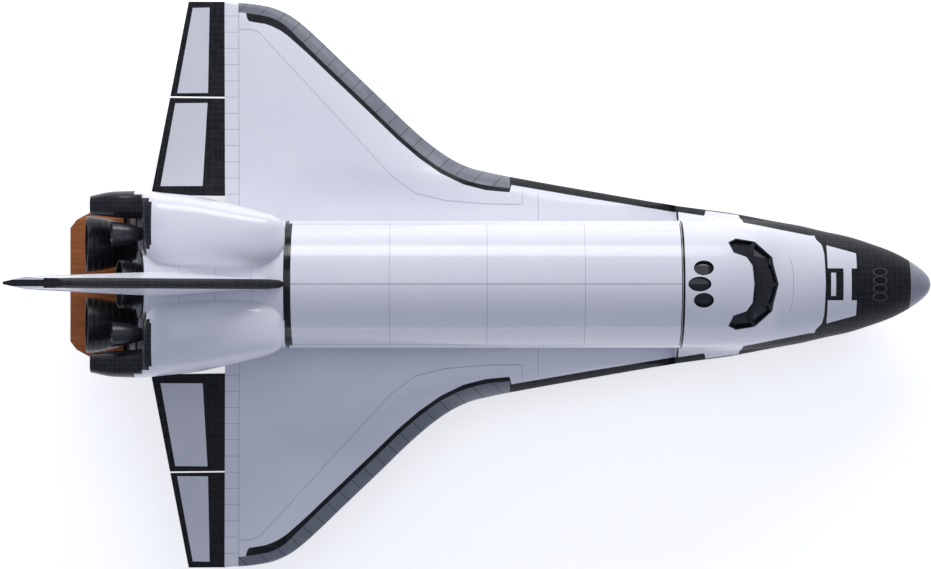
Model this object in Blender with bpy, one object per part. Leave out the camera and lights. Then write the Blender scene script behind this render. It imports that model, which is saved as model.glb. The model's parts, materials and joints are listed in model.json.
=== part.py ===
"""Space shuttle orbiter, parked on its landing gear, as an assembly of named pieces.

Everything is modelled in the vehicle's own frame, in metres: +X to the nose, +Y to port, +Z up,
z = 0 on the flat belly. The pieces hang from one empty, which pitches the vehicle nose-down onto
its tyres and puts the middle of its box over the world's origin.
"""

import math

import bmesh
import bpy
from mathutils import Matrix, Vector

# Assembly
REST_PITCH = math.radians(3.5)      # nose-down attitude on the gear
SEAT = 0.0003                       # gap where two pieces bear on each other
SEAM = 0.006                        # gap where a moving piece passes a fixed one
SIDES = {"left": 1, "right": -1}    # port is +Y

# Fuselage
CABIN_REAR = 8.84                   # joint between forward and mid fuselage
MODULE_REAR = 13.5                  # rear edge of the nose thruster module
NOSE_CAP_REAR = 18.55
CABIN_SPLIT = 2.9                   # height of the joint between upper and lower cabin shells
MODULE_FLOOR = 1.6
BAY_REAR = -7.26                    # joint between mid and aft fuselage
BODY_RADIUS = 2.64                  # round back of the mid fuselage, and half its width
BODY_CENTRE_Z = 2.86
SILL_ANGLE = math.radians(18)       # where the payload doors meet the sides
SKIN = 0.12                         # cabin wall
DOOR_THICKNESS = 0.14
RADIATOR_THICKNESS = 0.05
CABIN_FRONT = 13.2                  # front wall of the crew cabin
SHELL_SEAT = 0.0006                 # gap between parallel curved shells

# Landing gear
MAIN_GEAR_X = -4.3
MAIN_GEAR_Y = 3.455
MAIN_AXLE_Z = -2.335
MAIN_TYRE = {"radius": 0.565, "width": 0.406, "rim": 0.27, "spacing": 0.86}
NOSE_GEAR_X = 15.1
NOSE_TYRE = {"radius": 0.406, "width": 0.224, "rim": 0.19, "spacing": 0.58}
WHEEL_STEPS = 20
ROUND_STEPS = 24

# Moving surfaces
ELEVON_SPLIT = 7.88
FLAP_HINGE = Vector((-14.5, 0, 0.30))
FLAP_NOSE = 0.26
RUDDER_FOOT = Vector((-13.10, 0, 7.75))
RUDDER_HEAD = Vector((-16.5, 0, 13.0))

MAIN_ENGINES = {
    # name: (gimbal point, cant above the horizontal in degrees, length to the exit, exit radius)
    "upper": (Vector((-11.2, 0, 3.70)), 16.0, 3.10, 1.00),
    "left": (Vector((-11.8, 1.68, 1.92)), 10.0, 4.00, 1.15),
    "right": (Vector((-11.8, -1.68, 1.92)), 10.0, 4.00, 1.15),
}


def clear_scene():
    for thing in list(bpy.data.objects):
        bpy.data.objects.remove(thing, do_unlink=True)


def make_material(name, colour, roughness, metallic=0.0, alpha=1.0):
    material = bpy.data.materials.new(name)
    material.use_nodes = True
    shader = material.node_tree.nodes["Principled BSDF"]
    shader.inputs["Base Color"].default_value = (*colour, 1.0)
    shader.inputs["Roughness"].default_value = roughness
    shader.inputs["Metallic"].default_value = metallic
    shader.inputs["Alpha"].default_value = alpha
    material.diffuse_color = (*colour, alpha)
    return material


def make_materials():
    rows = {
        # slot: (colour, roughness, metallic)
        "white_tile": ((0.86, 0.87, 0.90), 0.35, 0.0),
        "black_tile": ((0.018, 0.019, 0.022), 0.55, 0.0),
        "reinforced_carbon": ((0.22, 0.24, 0.27), 0.45, 0.0),
        "nose_carbon": ((0.27, 0.28, 0.33), 0.4, 0.0),
        "flap_orange": ((0.33, 0.11, 0.035), 0.6, 0.0),
        "bell_metal": ((0.05, 0.05, 0.055), 0.35, 0.8),
        "nozzle_metal": ((0.09, 0.09, 0.1), 0.4, 0.7),
        "radiator_silver": ((0.75, 0.77, 0.8), 0.25, 0.9),
        "cabin_grey": ((0.35, 0.37, 0.38), 0.6, 0.0),
        "gear_metal": ((0.62, 0.63, 0.64), 0.35, 0.8),
        "wheel_metal": ((0.5, 0.51, 0.52), 0.35, 0.9),
        "tyre_black": ((0.02, 0.02, 0.02), 0.85, 0.0),
        "shaft_steel": ((0.4, 0.4, 0.42), 0.3, 1.0),
        "bay_grey": ((0.55, 0.56, 0.55), 0.6, 0.0),
    }
    made = {name: make_material(name, *row) for name, row in rows.items()}
    made["window_glass"] = make_material("window_glass", (0.02, 0.025, 0.03), 0.05, 0.0, 0.6)
    return made


class Shape:
    """Corners and faces of one closed solid, before it becomes an object."""

    def __init__(self, verts, faces):
        self.verts = [Vector(v) for v in verts]
        self.faces = [tuple(f) for f in faces]

    def moved(self, matrix):
        return Shape([matrix @ v for v in self.verts], self.faces)

    def mirrored(self):
        flipped = [tuple(reversed(f)) for f in self.faces]
        return Shape([Vector((v.x, -v.y, v.z)) for v in self.verts], flipped)

    def on_side(self, side):
        return self if side > 0 else self.mirrored()


def loft(rings):
    """Skin a row of rings of equal length, and close both ends."""
    count = len(rings[0])
    verts = [point for ring in rings for point in ring]
    faces = []
    for row in range(len(rings) - 1):
        for i in range(count):
            a = row * count + i
            b = row * count + (i + 1) % count
            faces += [(a, b, b + count), (a, b + count, a + count)]
    faces.append(tuple(reversed(range(count))))
    faces.append(tuple(range((len(rings) - 1) * count, len(rings) * count)))
    return Shape(verts, faces)


def lathe(profile, steps=ROUND_STEPS, turn=0.0):
    """Turn (along, radius) points round +X. A zero radius closes an end on the axis."""
    verts, rows = [], []
    for along, radius in profile:
        if radius == 0:
            rows.append([len(verts)] * steps)
            verts.append((along, 0, 0))
            continue
        rows.append([len(verts) + i for i in range(steps)])
        for i in range(steps):
            angle = turn + 2 * math.pi * i / steps
            verts.append((along, radius * math.cos(angle), radius * math.sin(angle)))
    faces = []
    for near, far in zip(rows, rows[1:] + rows[:1]):
        for i in range(steps):
            j = (i + 1) % steps
            corners = list(dict.fromkeys((near[i], near[j], far[j], far[i])))
            if len(corners) > 2:
                faces.append(tuple(reversed(corners)))
    return Shape(verts, faces)


def box(low, high):
    low, high = Vector(low), Vector(high)
    ring = [(low.y, low.z), (high.y, low.z), (high.y, high.z), (low.y, high.z)]
    return loft([[(x, y, z) for y, z in ring] for x in (low.x, high.x)])


def prism(outline, low_z, high_z):
    """Stand an (x, y) outline up between two heights."""
    return loft([[(x, y, z) for x, y in outline] for z in (low_z, high_z)])


def aimed(origin, direction, roll=(0, 1, 0)):
    """Matrix that takes +X to a direction at an origin, with +Y as near to roll as it can be."""
    along = Vector(direction).normalized()
    across = Vector(roll)
    across = (across - along * across.dot(along)).normalized()
    up = along.cross(across)
    frame = Matrix((along, across, up)).transposed().to_4x4()
    frame.translation = Vector(origin)
    return frame


def rod(start, end, radius, steps=ROUND_STEPS, end_radius=None):
    """Round bar between two points."""
    start, end = Vector(start), Vector(end)
    far_radius = radius if end_radius is None else end_radius
    length = (end - start).length
    shape = lathe([(0, 0), (0, radius), (length, far_radius), (length, 0)], steps)
    direction = end - start
    roll = (0, 1, 0) if abs(direction.normalized().y) < 0.9 else (1, 0, 0)
    return shape.moved(aimed(start, direction, roll))


def ease(t):
    t = min(max(t, 0.0), 1.0)
    return t * t * (3 - 2 * t)


def table_value(rows, column, x):
    """Straight-line reading of a column in rows that are sorted by their first value, falling."""
    if x >= rows[0][0]:
        return rows[0][column]
    for near, far in zip(rows, rows[1:]):
        if x >= far[0]:
            share = (near[0] - x) / (near[0] - far[0])
            return near[column] + (far[column] - near[column]) * share
    return rows[-1][column]


class Builder:
    """Makes the objects and hangs them from the orbiter's empty."""

    def __init__(self):
        self.materials = make_materials()
        self.root = bpy.data.objects.new("orbiter", None)
        bpy.context.collection.objects.link(self.root)
        self.nodes = []

    def mesh_object(self, name, shape):
        """Mesh from a shape, with its faces turned to point out."""
        mesh = bpy.data.meshes.new(name)
        mesh.from_pydata(shape.verts, [], shape.faces)
        work = bmesh.new()
        work.from_mesh(mesh)
        bmesh.ops.remove_doubles(work, verts=work.verts, dist=0.00001)
        if work.calc_volume(signed=True) < 0:
            bmesh.ops.reverse_faces(work, faces=work.faces)
        work.to_mesh(mesh)
        work.free()
        thing = bpy.data.objects.new(name, mesh)
        bpy.context.collection.objects.link(thing)
        return thing

    def node(self, name, shape, slot, pivot=(0, 0, 0), sharp=40):
        """One sub-part, with its origin on its pivot."""
        pivot = Vector(pivot)
        thing = self.mesh_object(name, shape.moved(Matrix.Translation(-pivot)))
        thing.data.materials.append(self.materials[slot])
        thing.data.shade_smooth()
        thing.data.set_sharp_from_angle(angle=math.radians(sharp))
        thing.parent = self.root
        thing.location = pivot
        self.nodes.append(thing)
        return thing

    def guide(self, name, shape):
        """A solid that only cuts or joins others."""
        thing = self.mesh_object(name, shape)
        thing.parent = self.root
        thing.hide_render = True
        thing.display_type = "WIRE"
        return thing

    def apply_guide(self, thing, guide, operation):
        step = thing.modifiers.new(guide.name, "BOOLEAN")
        step.operation = operation
        step.solver = "EXACT"
        step.object = guide

    def cut(self, thing, *guides):
        for guide in guides:
            self.apply_guide(thing, guide, "DIFFERENCE")

    def keep(self, thing, *guides):
        for guide in guides:
            self.apply_guide(thing, guide, "INTERSECT")

    def join(self, thing, *guides):
        for guide in guides:
            self.apply_guide(thing, guide, "UNION")


FORWARD_ROWS = [
    # x, belly z, crown z, half breadth
    (19.50, 1.40, 1.44, 0.02),
    (19.42, 1.18, 1.66, 0.29),
    (19.28, 1.05, 1.80, 0.48),
    (19.05, 0.90, 1.98, 0.69),
    (18.55, 0.66, 2.28, 1.03),
    (17.85, 0.43, 2.60, 1.39),
    (17.00, 0.27, 2.92, 1.70),
    (16.00, 0.14, 3.25, 2.01),
    (15.00, 0.06, 3.55, 2.22),
    (14.00, 0.02, 3.82, 2.45),
    (13.20, 0.01, 4.02, 2.60),
    (12.88, 0.00, 4.12, 2.66),
    (12.40, 0.00, 4.50, 2.75),
    (11.80, 0.00, 4.95, 2.87),
    (11.00, 0.00, 5.25, 3.02),
    (9.90, 0.00, 5.43, 3.18),
    (8.84, 0.00, 5.50, 3.33),
]
FLARE_START = 14.2                  # from here aft the sides flare out into the wing's glove

WINDOW_OUTLINES = [
    # x, y in metres, seen from above, port side
    [(10.82, 1.70), (11.08, 1.82), (11.76, 1.73), (11.46, 1.20), (11.00, 1.32)],
    [(11.88, 1.64), (12.50, 1.13), (12.43, 0.94), (12.06, 0.80), (11.62, 1.16)],
    [(12.47, 0.82), (12.55, 0.76), (12.76, 0.07), (12.24, 0.11), (12.17, 0.58)],
]
GLASS_OUTLINE = [(10.6, 1.12), (11.45, 1.02), (11.98, 0.66), (12.06, 0)]
# x, y, half length and half width of the roof's ovals
ROOF_WINDOWS = [(9.70, 0.66, 0.38, 0.27), (9.53, 0.0, 0.44, 0.27), (9.70, -0.66, 0.38, 0.27)]
HATCH = {"x": 10.8, "z": 2.2, "radius": 0.508, "bore": 0.44, "depth": 0.07}


def forward_half(x):
    """Half a section of the forward fuselage, belly to crown, as (y, z) points."""
    belly = table_value(FORWARD_ROWS, 1, x)
    crown = table_value(FORWARD_ROWS, 2, x)
    breadth = table_value(FORWARD_ROWS, 3, x)
    middle = belly + 0.44 * (crown - belly)
    plain = []
    for step in range(6):
        angle = math.radians(18 * step)
        across = breadth * math.sin(angle) ** 0.85
        plain.append((across, middle - (middle - belly) * math.cos(angle) ** 0.8))
    for step in range(1, 10):
        angle = math.radians(10 * step)
        plain.append((breadth * math.cos(angle), middle + (crown - middle) * math.sin(angle)))
    flared = [(0, belly), (0.4 * breadth, belly), (0.7 * breadth, belly),
              (breadth - 0.5, 0.02), (breadth - 0.14, 0.24), (breadth, 0.66),
              (breadth - 0.34, 1.02), (2.70, 1.38), (BODY_RADIUS, 2.1), (BODY_RADIUS, BODY_CENTRE_Z)]
    for step in range(1, 6):
        angle = SILL_ANGLE + (math.pi / 2 - SILL_ANGLE) * (step - 1) / 4
        rise = (crown - BODY_CENTRE_Z) * math.sin(angle)
        flared.append((BODY_RADIUS * math.cos(angle), BODY_CENTRE_Z + rise))
    flare = ease((FLARE_START - x) / (FLARE_START - CABIN_REAR))
    return [(p[0] + (f[0] - p[0]) * flare, p[1] + (f[1] - p[1]) * flare)
            for p, f in zip(plain, flared)]


def forward_ring(x, inset=0.0):
    """A whole section, pulled in towards its middle, seen from the front."""
    half = forward_half(x)
    middle = 0.5 * (half[0][1] + half[-1][1])
    points = half + [(-y, z) for y, z in reversed(half[1:-1])]
    ring = []
    for y, z in points:
        reach = math.hypot(y, z - middle)
        share = max(0.02, 1 - inset / reach) if inset else 1.0
        ring.append((x, y * share, middle + (z - middle) * share))
    return ring


def forward_form(low_x, high_x, inset=0.0):
    """Forms with the same rows between their ends lie parallel, whatever their insets."""
    stations = [low_x] + [row[0] for row in reversed(FORWARD_ROWS) if low_x < row[0] < high_x]
    return loft([forward_ring(x, inset) for x in stations + [high_x]])


def window_guides(build):
    """Upright prisms through the six forward windows and the roof's ovals."""
    guides = []
    for number, outline in enumerate(WINDOW_OUTLINES):
        for name, side in SIDES.items():
            shape = prism([(x, y * side) for x, y in outline], 3.0, 6.0)
            guides.append(build.guide(f"guide_window_{number}_{name}", shape))
    for number, (x, y, half_length, half_width) in enumerate(ROOF_WINDOWS):
        turns = [2 * math.pi * i / 16 for i in range(16)]
        outline = [(x + half_length * math.cos(a), y + half_width * math.sin(a)) for a in turns]
        guides.append(build.guide(f"guide_roof_window_{number}", prism(outline, 4.0, 6.5)))
    return guides


def make_panes(build):
    """Two sheets of glass behind the windows, each laid against the shell's inner face."""
    front = GLASS_OUTLINE + [(x, -y) for x, y in reversed(GLASS_OUTLINE[:-1])]
    front += [(10.6, -1.98), (12.0, -1.98), (12.86, -1.1), (12.98, 0), (12.86, 1.1),
              (12.0, 1.98), (10.6, 1.98)]
    roof = [(9.1, -1.05), (10.12, -1.05), (10.12, 1.05), (9.1, 1.05)]
    for name, outline in (("windshield_panes", front), ("roof_window_panes", roof)):
        glass = build.node(name, forward_form(CABIN_REAR, CABIN_FRONT, SKIN + SHELL_SEAT),
                           "window_glass")
        inner = build.guide(f"guide_{name}_inner",
                            forward_form(CABIN_REAR - 1, CABIN_FRONT + 0.8, SKIN + 0.04))
        area = build.guide(f"guide_{name}_area", prism(outline, 3.05, 6.0))
        build.cut(glass, inner)
        build.keep(glass, area)


def hatch_guide(build, name, radius, low_y):
    start = Vector((HATCH["x"], low_y, HATCH["z"]))
    return build.guide(name, rod(start, start + Vector((0, 3.6 - low_y, 0)), radius))


def make_side_hatch(build):
    """Round crew hatch in the port side, hinged along its foot and resting on the bore's ledge."""
    lip = HATCH["radius"] + 0.007
    axis_z = HATCH["z"] - lip
    start = Vector((HATCH["x"], 2.2, HATCH["z"]))
    disc = rod(start, start + Vector((0, 1.3, 0)), HATCH["radius"])
    outer_y = max(y for y, z in forward_half(HATCH["x"]) if z < HATCH["z"])
    hatch = build.node("side_hatch", disc, "white_tile", (HATCH["x"], outer_y + 0.03, axis_z))
    build.keep(hatch, build.guide("guide_hatch_outer", forward_form(CABIN_REAR, CABIN_FRONT)))
    build.cut(hatch, build.guide("guide_hatch_inner",
                                 forward_form(CABIN_REAR, CABIN_FRONT, HATCH["depth"])))
    return hatch


def make_forward_fuselage(build):
    build.node("nose_cap", forward_form(NOSE_CAP_REAR + SEAT, 19.50), "nose_carbon")

    module = build.node("nose_thruster_module",
                        forward_form(MODULE_REAR + SEAT, NOSE_CAP_REAR), "white_tile")
    build.keep(module, build.guide("guide_module_area",
                                   box((13, -4, MODULE_FLOOR + SEAT), (19, 4, 6))))

    cabin = build.guide("guide_cabin", forward_form(CABIN_REAR - 1, CABIN_FRONT, SKIN))
    upper = build.node("upper_forward_fuselage",
                       forward_form(CABIN_REAR, MODULE_REAR), "white_tile")
    build.keep(upper, build.guide("guide_upper_area",
                                  box((8, -4, CABIN_SPLIT + SEAT), (14, 4, 6))))
    build.cut(upper, cabin, *window_guides(build))

    lower = build.node("lower_forward_fuselage",
                       forward_form(CABIN_REAR, NOSE_CAP_REAR), "black_tile")
    build.cut(lower,
              build.guide("guide_above_split", box((8, -4, CABIN_SPLIT), (MODULE_REAR + 0.5, 4, 6))),
              build.guide("guide_above_floor",
                          box((MODULE_REAR, -4, MODULE_FLOOR), (19, 4, 6))),
              cabin,
              build.guide("guide_nose_well", box((13.9, -0.6, -0.5), (16.3, 0.6, 1.25))),
              hatch_guide(build, "guide_hatch_bore", HATCH["bore"], 2.0))
    recess = hatch_guide(build, "guide_hatch_recess", HATCH["radius"] + 0.007, 2.3)
    build.cut(recess, build.guide("guide_hatch_ledge",
                                  forward_form(CABIN_REAR, CABIN_FRONT, HATCH["depth"] + SHELL_SEAT)))
    build.cut(lower, recess)
    make_side_hatch(build)
    make_panes(build)
    make_cabin(build)


def make_cabin(build):
    """Flight deck floor with its seats and panel, and the bulkhead towards the payload bay."""
    deck = build.node("flight_deck",
                      forward_form(CABIN_REAR, CABIN_FRONT, SKIN + SHELL_SEAT), "cabin_grey")
    build.keep(deck, build.guide("guide_deck_area",
                                 box((CABIN_REAR + 0.16, -4, 2.62), (12.6, 4, 2.74))))
    furniture = [box((12.1, -1.25, 2.7), (12.45, 1.25, 3.55))]
    for side in SIDES.values():
        y = 0.62 * side
        furniture.append(box((10.9, y - 0.25, 2.7), (11.4, y + 0.25, 3.15)))
        furniture.append(box((10.8, y - 0.25, 3.0), (10.95, y + 0.25, 3.95)))
    for number, shape in enumerate(furniture):
        build.join(deck, build.guide(f"guide_furniture_{number}", shape))

    rear = CABIN_REAR + 0.02
    bulkhead = build.node("cabin_rear_bulkhead",
                          forward_form(CABIN_REAR, CABIN_FRONT, SKIN + SHELL_SEAT), "bay_grey")
    build.keep(bulkhead, build.guide("guide_bulkhead_area",
                                     box((rear, -4, -1), (rear + 0.1, 4, 6))))
    for name, side in SIDES.items():
        low = (rear - 0.1, 0.45 * side - 0.2, 4.3)
        high = (rear + 0.3, 0.45 * side + 0.2, 4.62)
        build.cut(bulkhead, build.guide(f"guide_bay_window_{name}", box(low, high)))
    pane_x = rear + 0.1 + SEAT
    build.node("bay_window_panes", box((pane_x, -0.75, 4.2), (pane_x + 0.03, 0.75, 4.72)),
               "window_glass")


def body_arc(radius, low, high, steps):
    """(y, z) points on the round back between two angles above the horizontal."""
    points = []
    for step in range(steps + 1):
        angle = low + (high - low) * step / steps
        points.append((radius * math.cos(angle), BODY_CENTRE_Z + radius * math.sin(angle)))
    return points


def extruded(outline, low_x, high_x):
    return loft([[(x, y, z) for y, z in outline] for x in (low_x, high_x)])


def make_mid_fuselage(build):
    """Open trough of the payload bay, with a flat belly and a rounded floor."""
    outer = [(BODY_RADIUS, 0.0)] + body_arc(BODY_RADIUS, 0, SILL_ANGLE, 2)
    inner = [(2.22, 3.58), (2.25, 2.9), (2.25, 2.0), (1.95, 1.25), (1.2, 0.82)]
    half = outer + inner
    outline = half + [(-y, z) for y, z in reversed(half)]
    shape = extruded(outline, BAY_REAR + SEAT, CABIN_REAR - SEAT)
    build.node("mid_fuselage", shape, "bay_grey")


def door_hinge():
    radius = BODY_RADIUS + 0.03
    return Vector((0, radius * math.cos(SILL_ANGLE),
                   BODY_CENTRE_Z + radius * math.sin(SILL_ANGLE)))


def make_payload_doors(build):
    """Curved doors that meet over the bay, each with its radiator laid against the inside."""
    low_x, high_x = BAY_REAR + SEAM, CABIN_REAR - SEAM
    steps = 8
    seat_angle = SILL_ANGLE + SEAT / BODY_RADIUS
    seam_angle = math.pi / 2 - SEAM / BODY_RADIUS
    reach = seam_angle - seat_angle
    for name, side in SIDES.items():
        hinge = door_hinge()
        hinge.y *= side
        outer = body_arc(BODY_RADIUS, seat_angle, seam_angle, steps)
        inner = body_arc(BODY_RADIUS - DOOR_THICKNESS, seat_angle, seam_angle, steps)
        door = extruded(outer + inner[::-1], low_x, high_x).on_side(side)
        build.node(f"payload_bay_door_{name}", door, "white_tile", hinge)

        low, high = seat_angle + reach / steps, seam_angle - reach / steps
        face = BODY_RADIUS - DOOR_THICKNESS - SEAT
        near = body_arc(face, low, high, steps - 2)
        far = body_arc(face - RADIATOR_THICKNESS, low, high, steps - 2)
        radiator = extruded(near + far[::-1], low_x + 0.35, high_x - 0.35).on_side(side)
        build.node(f"radiator_{name}", radiator, "radiator_silver", hinge)


AFT_ROWS = [
    # x, belly z, crown z, half breadth
    (BAY_REAR, 0.0, 5.50, 2.64),
    (-8.50, 0.0, 5.51, 2.64),
    (-10.30, 0.0, 5.68, 2.64),
    (-11.60, 0.02, 5.84, 2.98),
    (-12.80, 0.04, 5.90, 3.25),
    (-13.06, 0.05, 5.92, 3.28),
]
BASE_SLOPE = 0.232                  # how far the base leans aft for each metre downwards
BASE_TOP_X = -13.06
CAVITY_REAR = -10.05
CAVITY_OUTLINE = [(-2.2, 0.45), (2.2, 0.45), (2.2, 3.2), (1.15, 3.7), (1.1, 4.7),
                  (-1.1, 4.7), (-1.15, 3.7), (-2.2, 3.2)]
HINGE_STEPS = 48                    # facets round a hinge nose and its cove
GIMBAL_BALL = 0.16                  # round front end of an engine, centred on its gimbal point
NOZZLE_BALL = 0.10
BELL_WELL = {"upper": (0.80, 1.90), "left": (0.85, 1.92), "right": (0.85, 1.92)}
UMBILICAL = {"x": (-9.3, -8.15), "y": (1.25, 2.38), "thickness": 0.06}


def aft_half(x, grow):
    """Half a section, belly to crown. It turns from round to a hump between two shoulders."""
    belly, crown, breadth = [table_value(AFT_ROWS, column, x) for column in range(1, 4)]
    round_back = [(0, belly), (breadth, belly), (breadth, BODY_CENTRE_Z)]
    for step in range(1, 9):
        angle = math.pi / 2 * step / 8
        rise = (crown - BODY_CENTRE_Z) * math.sin(angle)
        round_back.append((breadth * math.cos(angle), BODY_CENTRE_Z + rise))
    hump = [(0, belly), (breadth, belly), (breadth, 2.9), (breadth - 0.12, 3.4),
            (breadth - 0.6, 3.75), (1.75, 3.92), (1.42, 4.15), (1.40, 4.9),
            (1.15, 5.55), (0.62, crown - 0.06), (0, crown)]
    share = ease((BAY_REAR - 0.3 - x) / 2.5)
    half = []
    for (near_y, near_z), (far_y, far_z) in zip(round_back, hump):
        y = near_y + (far_y - near_y) * share
        z = near_z + (far_z - near_z) * share
        out = grow if z > 1 else -grow
        half.append((y + (grow if y > 0.01 else 0), z + out))
    return half


def aft_ring(x, grow=0.0, rear=False):
    half = aft_half(x, grow)
    points = half + [(-y, z) for y, z in reversed(half[1:-1])]
    ring = []
    for y, z in points:
        lean = (AFT_ROWS[-1][2] - z) * BASE_SLOPE if rear else 0
        ring.append((x - lean, y, z))
    return ring


def aft_form(front, grow=0.0, low_x=None):
    """The aft fuselage's outer form. Its base leans aft at the foot."""
    stations = [row[0] for row in AFT_ROWS if row[0] < front]
    if low_x is None:
        stations.pop()
    rings = [aft_ring(x, grow) for x in [front] + stations]
    end = BASE_TOP_X if low_x is None else low_x
    return loft(rings + [aft_ring(end, grow, rear=low_x is None)])


def engine_direction(cant):
    angle = math.radians(cant)
    return Vector((-math.cos(angle), 0, math.sin(angle)))


def make_aft_fuselage(build):
    aft = build.node("aft_fuselage", aft_form(BAY_REAR), "white_tile")
    hollow = extruded(CAVITY_OUTLINE, CAVITY_REAR, BAY_REAR + 0.5)
    build.cut(aft, build.guide("guide_equipment_bay", hollow))
    for name, (gimbal, cant, length, _) in MAIN_ENGINES.items():
        direction = engine_direction(cant)
        start = gimbal - direction * (GIMBAL_BALL + SEAT)
        near, far = BELL_WELL[name]
        well = rod(start, gimbal + direction * (length + 1), near, end_radius=far)
        build.cut(aft, build.guide(f"guide_engine_well_{name}", well))
    build.cut(aft, build.guide("guide_flap_cove", hinge_cutter(
        FLAP_HINGE + Vector((0, -3.6, 0)), FLAP_HINGE + Vector((0, 3.6, 0)),
        FLAP_NOSE, FLAP_NOSE, [1.9, 5.3])))
    low_x, high_x = UMBILICAL["x"]
    low_y, high_y = UMBILICAL["y"]
    for name, side in SIDES.items():
        deep = box((low_x + 0.1, low_y + 0.1, -0.2), (high_x - 0.1, high_y - 0.1, 0.3))
        recess = box((low_x, low_y, -0.2), (high_x, high_y, UMBILICAL["thickness"]))
        build.cut(aft, build.guide(f"guide_umbilical_well_{name}", deep.on_side(side)),
                  build.guide(f"guide_umbilical_recess_{name}", recess.on_side(side)))
        door = box((low_x + SEAM, low_y + SEAM, 0.0),
                   (high_x - SEAM, high_y - 2 * SEAM, UMBILICAL["thickness"] - SEAT))
        build.node(f"umbilical_door_{name}", door.on_side(side), "black_tile",
                   (0.5 * (low_x + high_x), (low_y - 0.004) * side, -0.02))
    outline = [(y - math.copysign(SEAT, y), z - math.copysign(SEAT, z - 2))
               for y, z in CAVITY_OUTLINE]
    bulkhead = extruded(outline, BAY_REAR - 0.15, BAY_REAR - 0.0005)
    build.node("aft_bay_bulkhead", bulkhead, "bay_grey")


def hinge_cutter(start, end, start_radius, end_radius, ribs, clearance=0.01):
    """Round cutter for a cove. It leaves narrow ribs that bear on the nose that turns in it."""
    start, end = Vector(start), Vector(end)
    length = (end - start).length
    steps = HINGE_STEPS
    bearing = 1 / math.cos(math.pi / steps)
    rib_width = 0.12

    def nose_at(along):
        return start_radius + (end_radius - start_radius) * along / length

    profile = [(0, 0), (0, nose_at(0) + clearance)]
    for rib in ribs:
        low, high = rib - rib_width / 2, rib + rib_width / 2
        profile += [(low - 0.001, nose_at(low) + clearance),
                    (low, nose_at(low) * bearing + SEAT),
                    (high, nose_at(high) * bearing + SEAT),
                    (high + 0.001, nose_at(high) + clearance)]
    profile += [(length, nose_at(length) + clearance), (length, 0)]
    roll = (1, 0, 0) if abs((end - start).normalized().y) > 0.5 else (0, 1, 0)
    return lathe(profile, steps).moved(aimed(start, end - start, roll))


def nose_arc(centre, radius, low_degrees, high_degrees):
    """(x, z) points on a hinge nose, between two angles from straight ahead."""
    count = round((high_degrees - low_degrees) * HINGE_STEPS / 360)
    points = []
    for i in range(count + 1):
        angle = math.radians(low_degrees + (high_degrees - low_degrees) * i / count)
        points.append((centre[0] + radius * math.cos(angle), centre[1] + radius * math.sin(angle)))
    return points


FLAP_STATIONS = [
    # y, rear edge x
    (-3.05, -15.9), (-2.75, -16.45), (-2.4, -16.72), (2.4, -16.72), (2.75, -16.45), (3.05, -15.9),
]


def make_body_flap(build):
    """Wedge under the engines, with a round nose on its hinge line."""
    rings = []
    for y, rear in FLAP_STATIONS:
        arc = nose_arc((FLAP_HINGE.x, FLAP_HINGE.z), FLAP_NOSE, -97.5, 97.5)
        section = arc + [(rear, 0.16), (rear, 0.06)]
        rings.append([(x, y, z) for x, z in section])
    build.node("body_flap", loft(rings), "flap_orange", FLAP_HINGE)


def ball_profile(radius):
    """Front half of a ball about the origin, as (along, radius) points."""
    turns = [math.radians(30 * step) for step in range(4)]
    return [(-radius, 0)] + [(-radius * math.cos(a), radius * math.sin(a)) for a in turns[1:]]


def bell_profile(length, throat_x, throat, exit_radius, wall):
    """Closed (along, radius) outline of an engine: gimbal, powerhead, throat and open bell."""
    steps = 5
    outer, inner = [], []
    for step in range(steps + 1):
        share = step / steps
        along = throat_x + (length - throat_x) * share
        radius = throat + (exit_radius - throat) * (1 - (1 - share) ** 1.75)
        outer.append((along, radius))
        inner.append((along, radius - wall))
    head = ball_profile(GIMBAL_BALL) + [(0.2, 0.14), (0.42, 0.62), (throat_x - 0.35, 0.62),
                                        (throat_x - 0.12, 0.3)]
    return head + outer + inner[::-1] + [(throat_x, 0)]


def make_main_engines(build):
    for name, (gimbal, cant, length, exit_radius) in MAIN_ENGINES.items():
        profile = bell_profile(length, 1.25, 0.28, exit_radius, 0.06)
        shape = lathe(profile, 22).moved(aimed(gimbal, engine_direction(cant)))
        build.node(f"main_engine_{name}", shape, "bell_metal", gimbal)


POD_ROWS = [
    # x, inner y, outer y, bottom z, top z
    (-7.38, 1.50, 2.36, 4.90, 5.10),
    (-7.62, 1.10, 2.68, 4.50, 5.50),
    (-8.10, 0.78, 2.90, 4.10, 5.80),
    (-8.90, 0.56, 3.12, 3.60, 6.05),
    (-10.00, 0.52, 3.38, 3.25, 6.22),
    (-11.20, 0.52, 3.62, 3.05, 6.28),
    (-12.30, 0.56, 3.73, 3.00, 6.20),
    (-12.85, 0.80, 3.80, 3.00, 6.02),
    (-13.10, 1.20, 3.82, 3.05, 5.80),
    (-13.16, 2.64, 3.83, 3.30, 5.35),
    (-14.40, 2.74, 3.80, 3.60, 5.10),
    (-15.35, 2.84, 3.62, 3.85, 4.85),
]
NOZZLE_PIVOT = Vector((-12.78, 2.05, 4.75))
NOZZLE_CANT = 12.0


def pod_ring(x, low_y, high_y, low_z, high_z):
    """Rounded box section, seen along X."""
    points = []
    for step in range(20):
        angle = 2 * math.pi * step / 20
        c, s = math.cos(angle), math.sin(angle)
        across = math.copysign(abs(c) ** 0.75, c)
        up = math.copysign(abs(s) ** 0.75, s)
        points.append((x, 0.5 * (low_y + high_y) + 0.5 * (high_y - low_y) * across,
                       0.5 * (low_z + high_z) + 0.5 * (high_z - low_z) * up))
    return points


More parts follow.
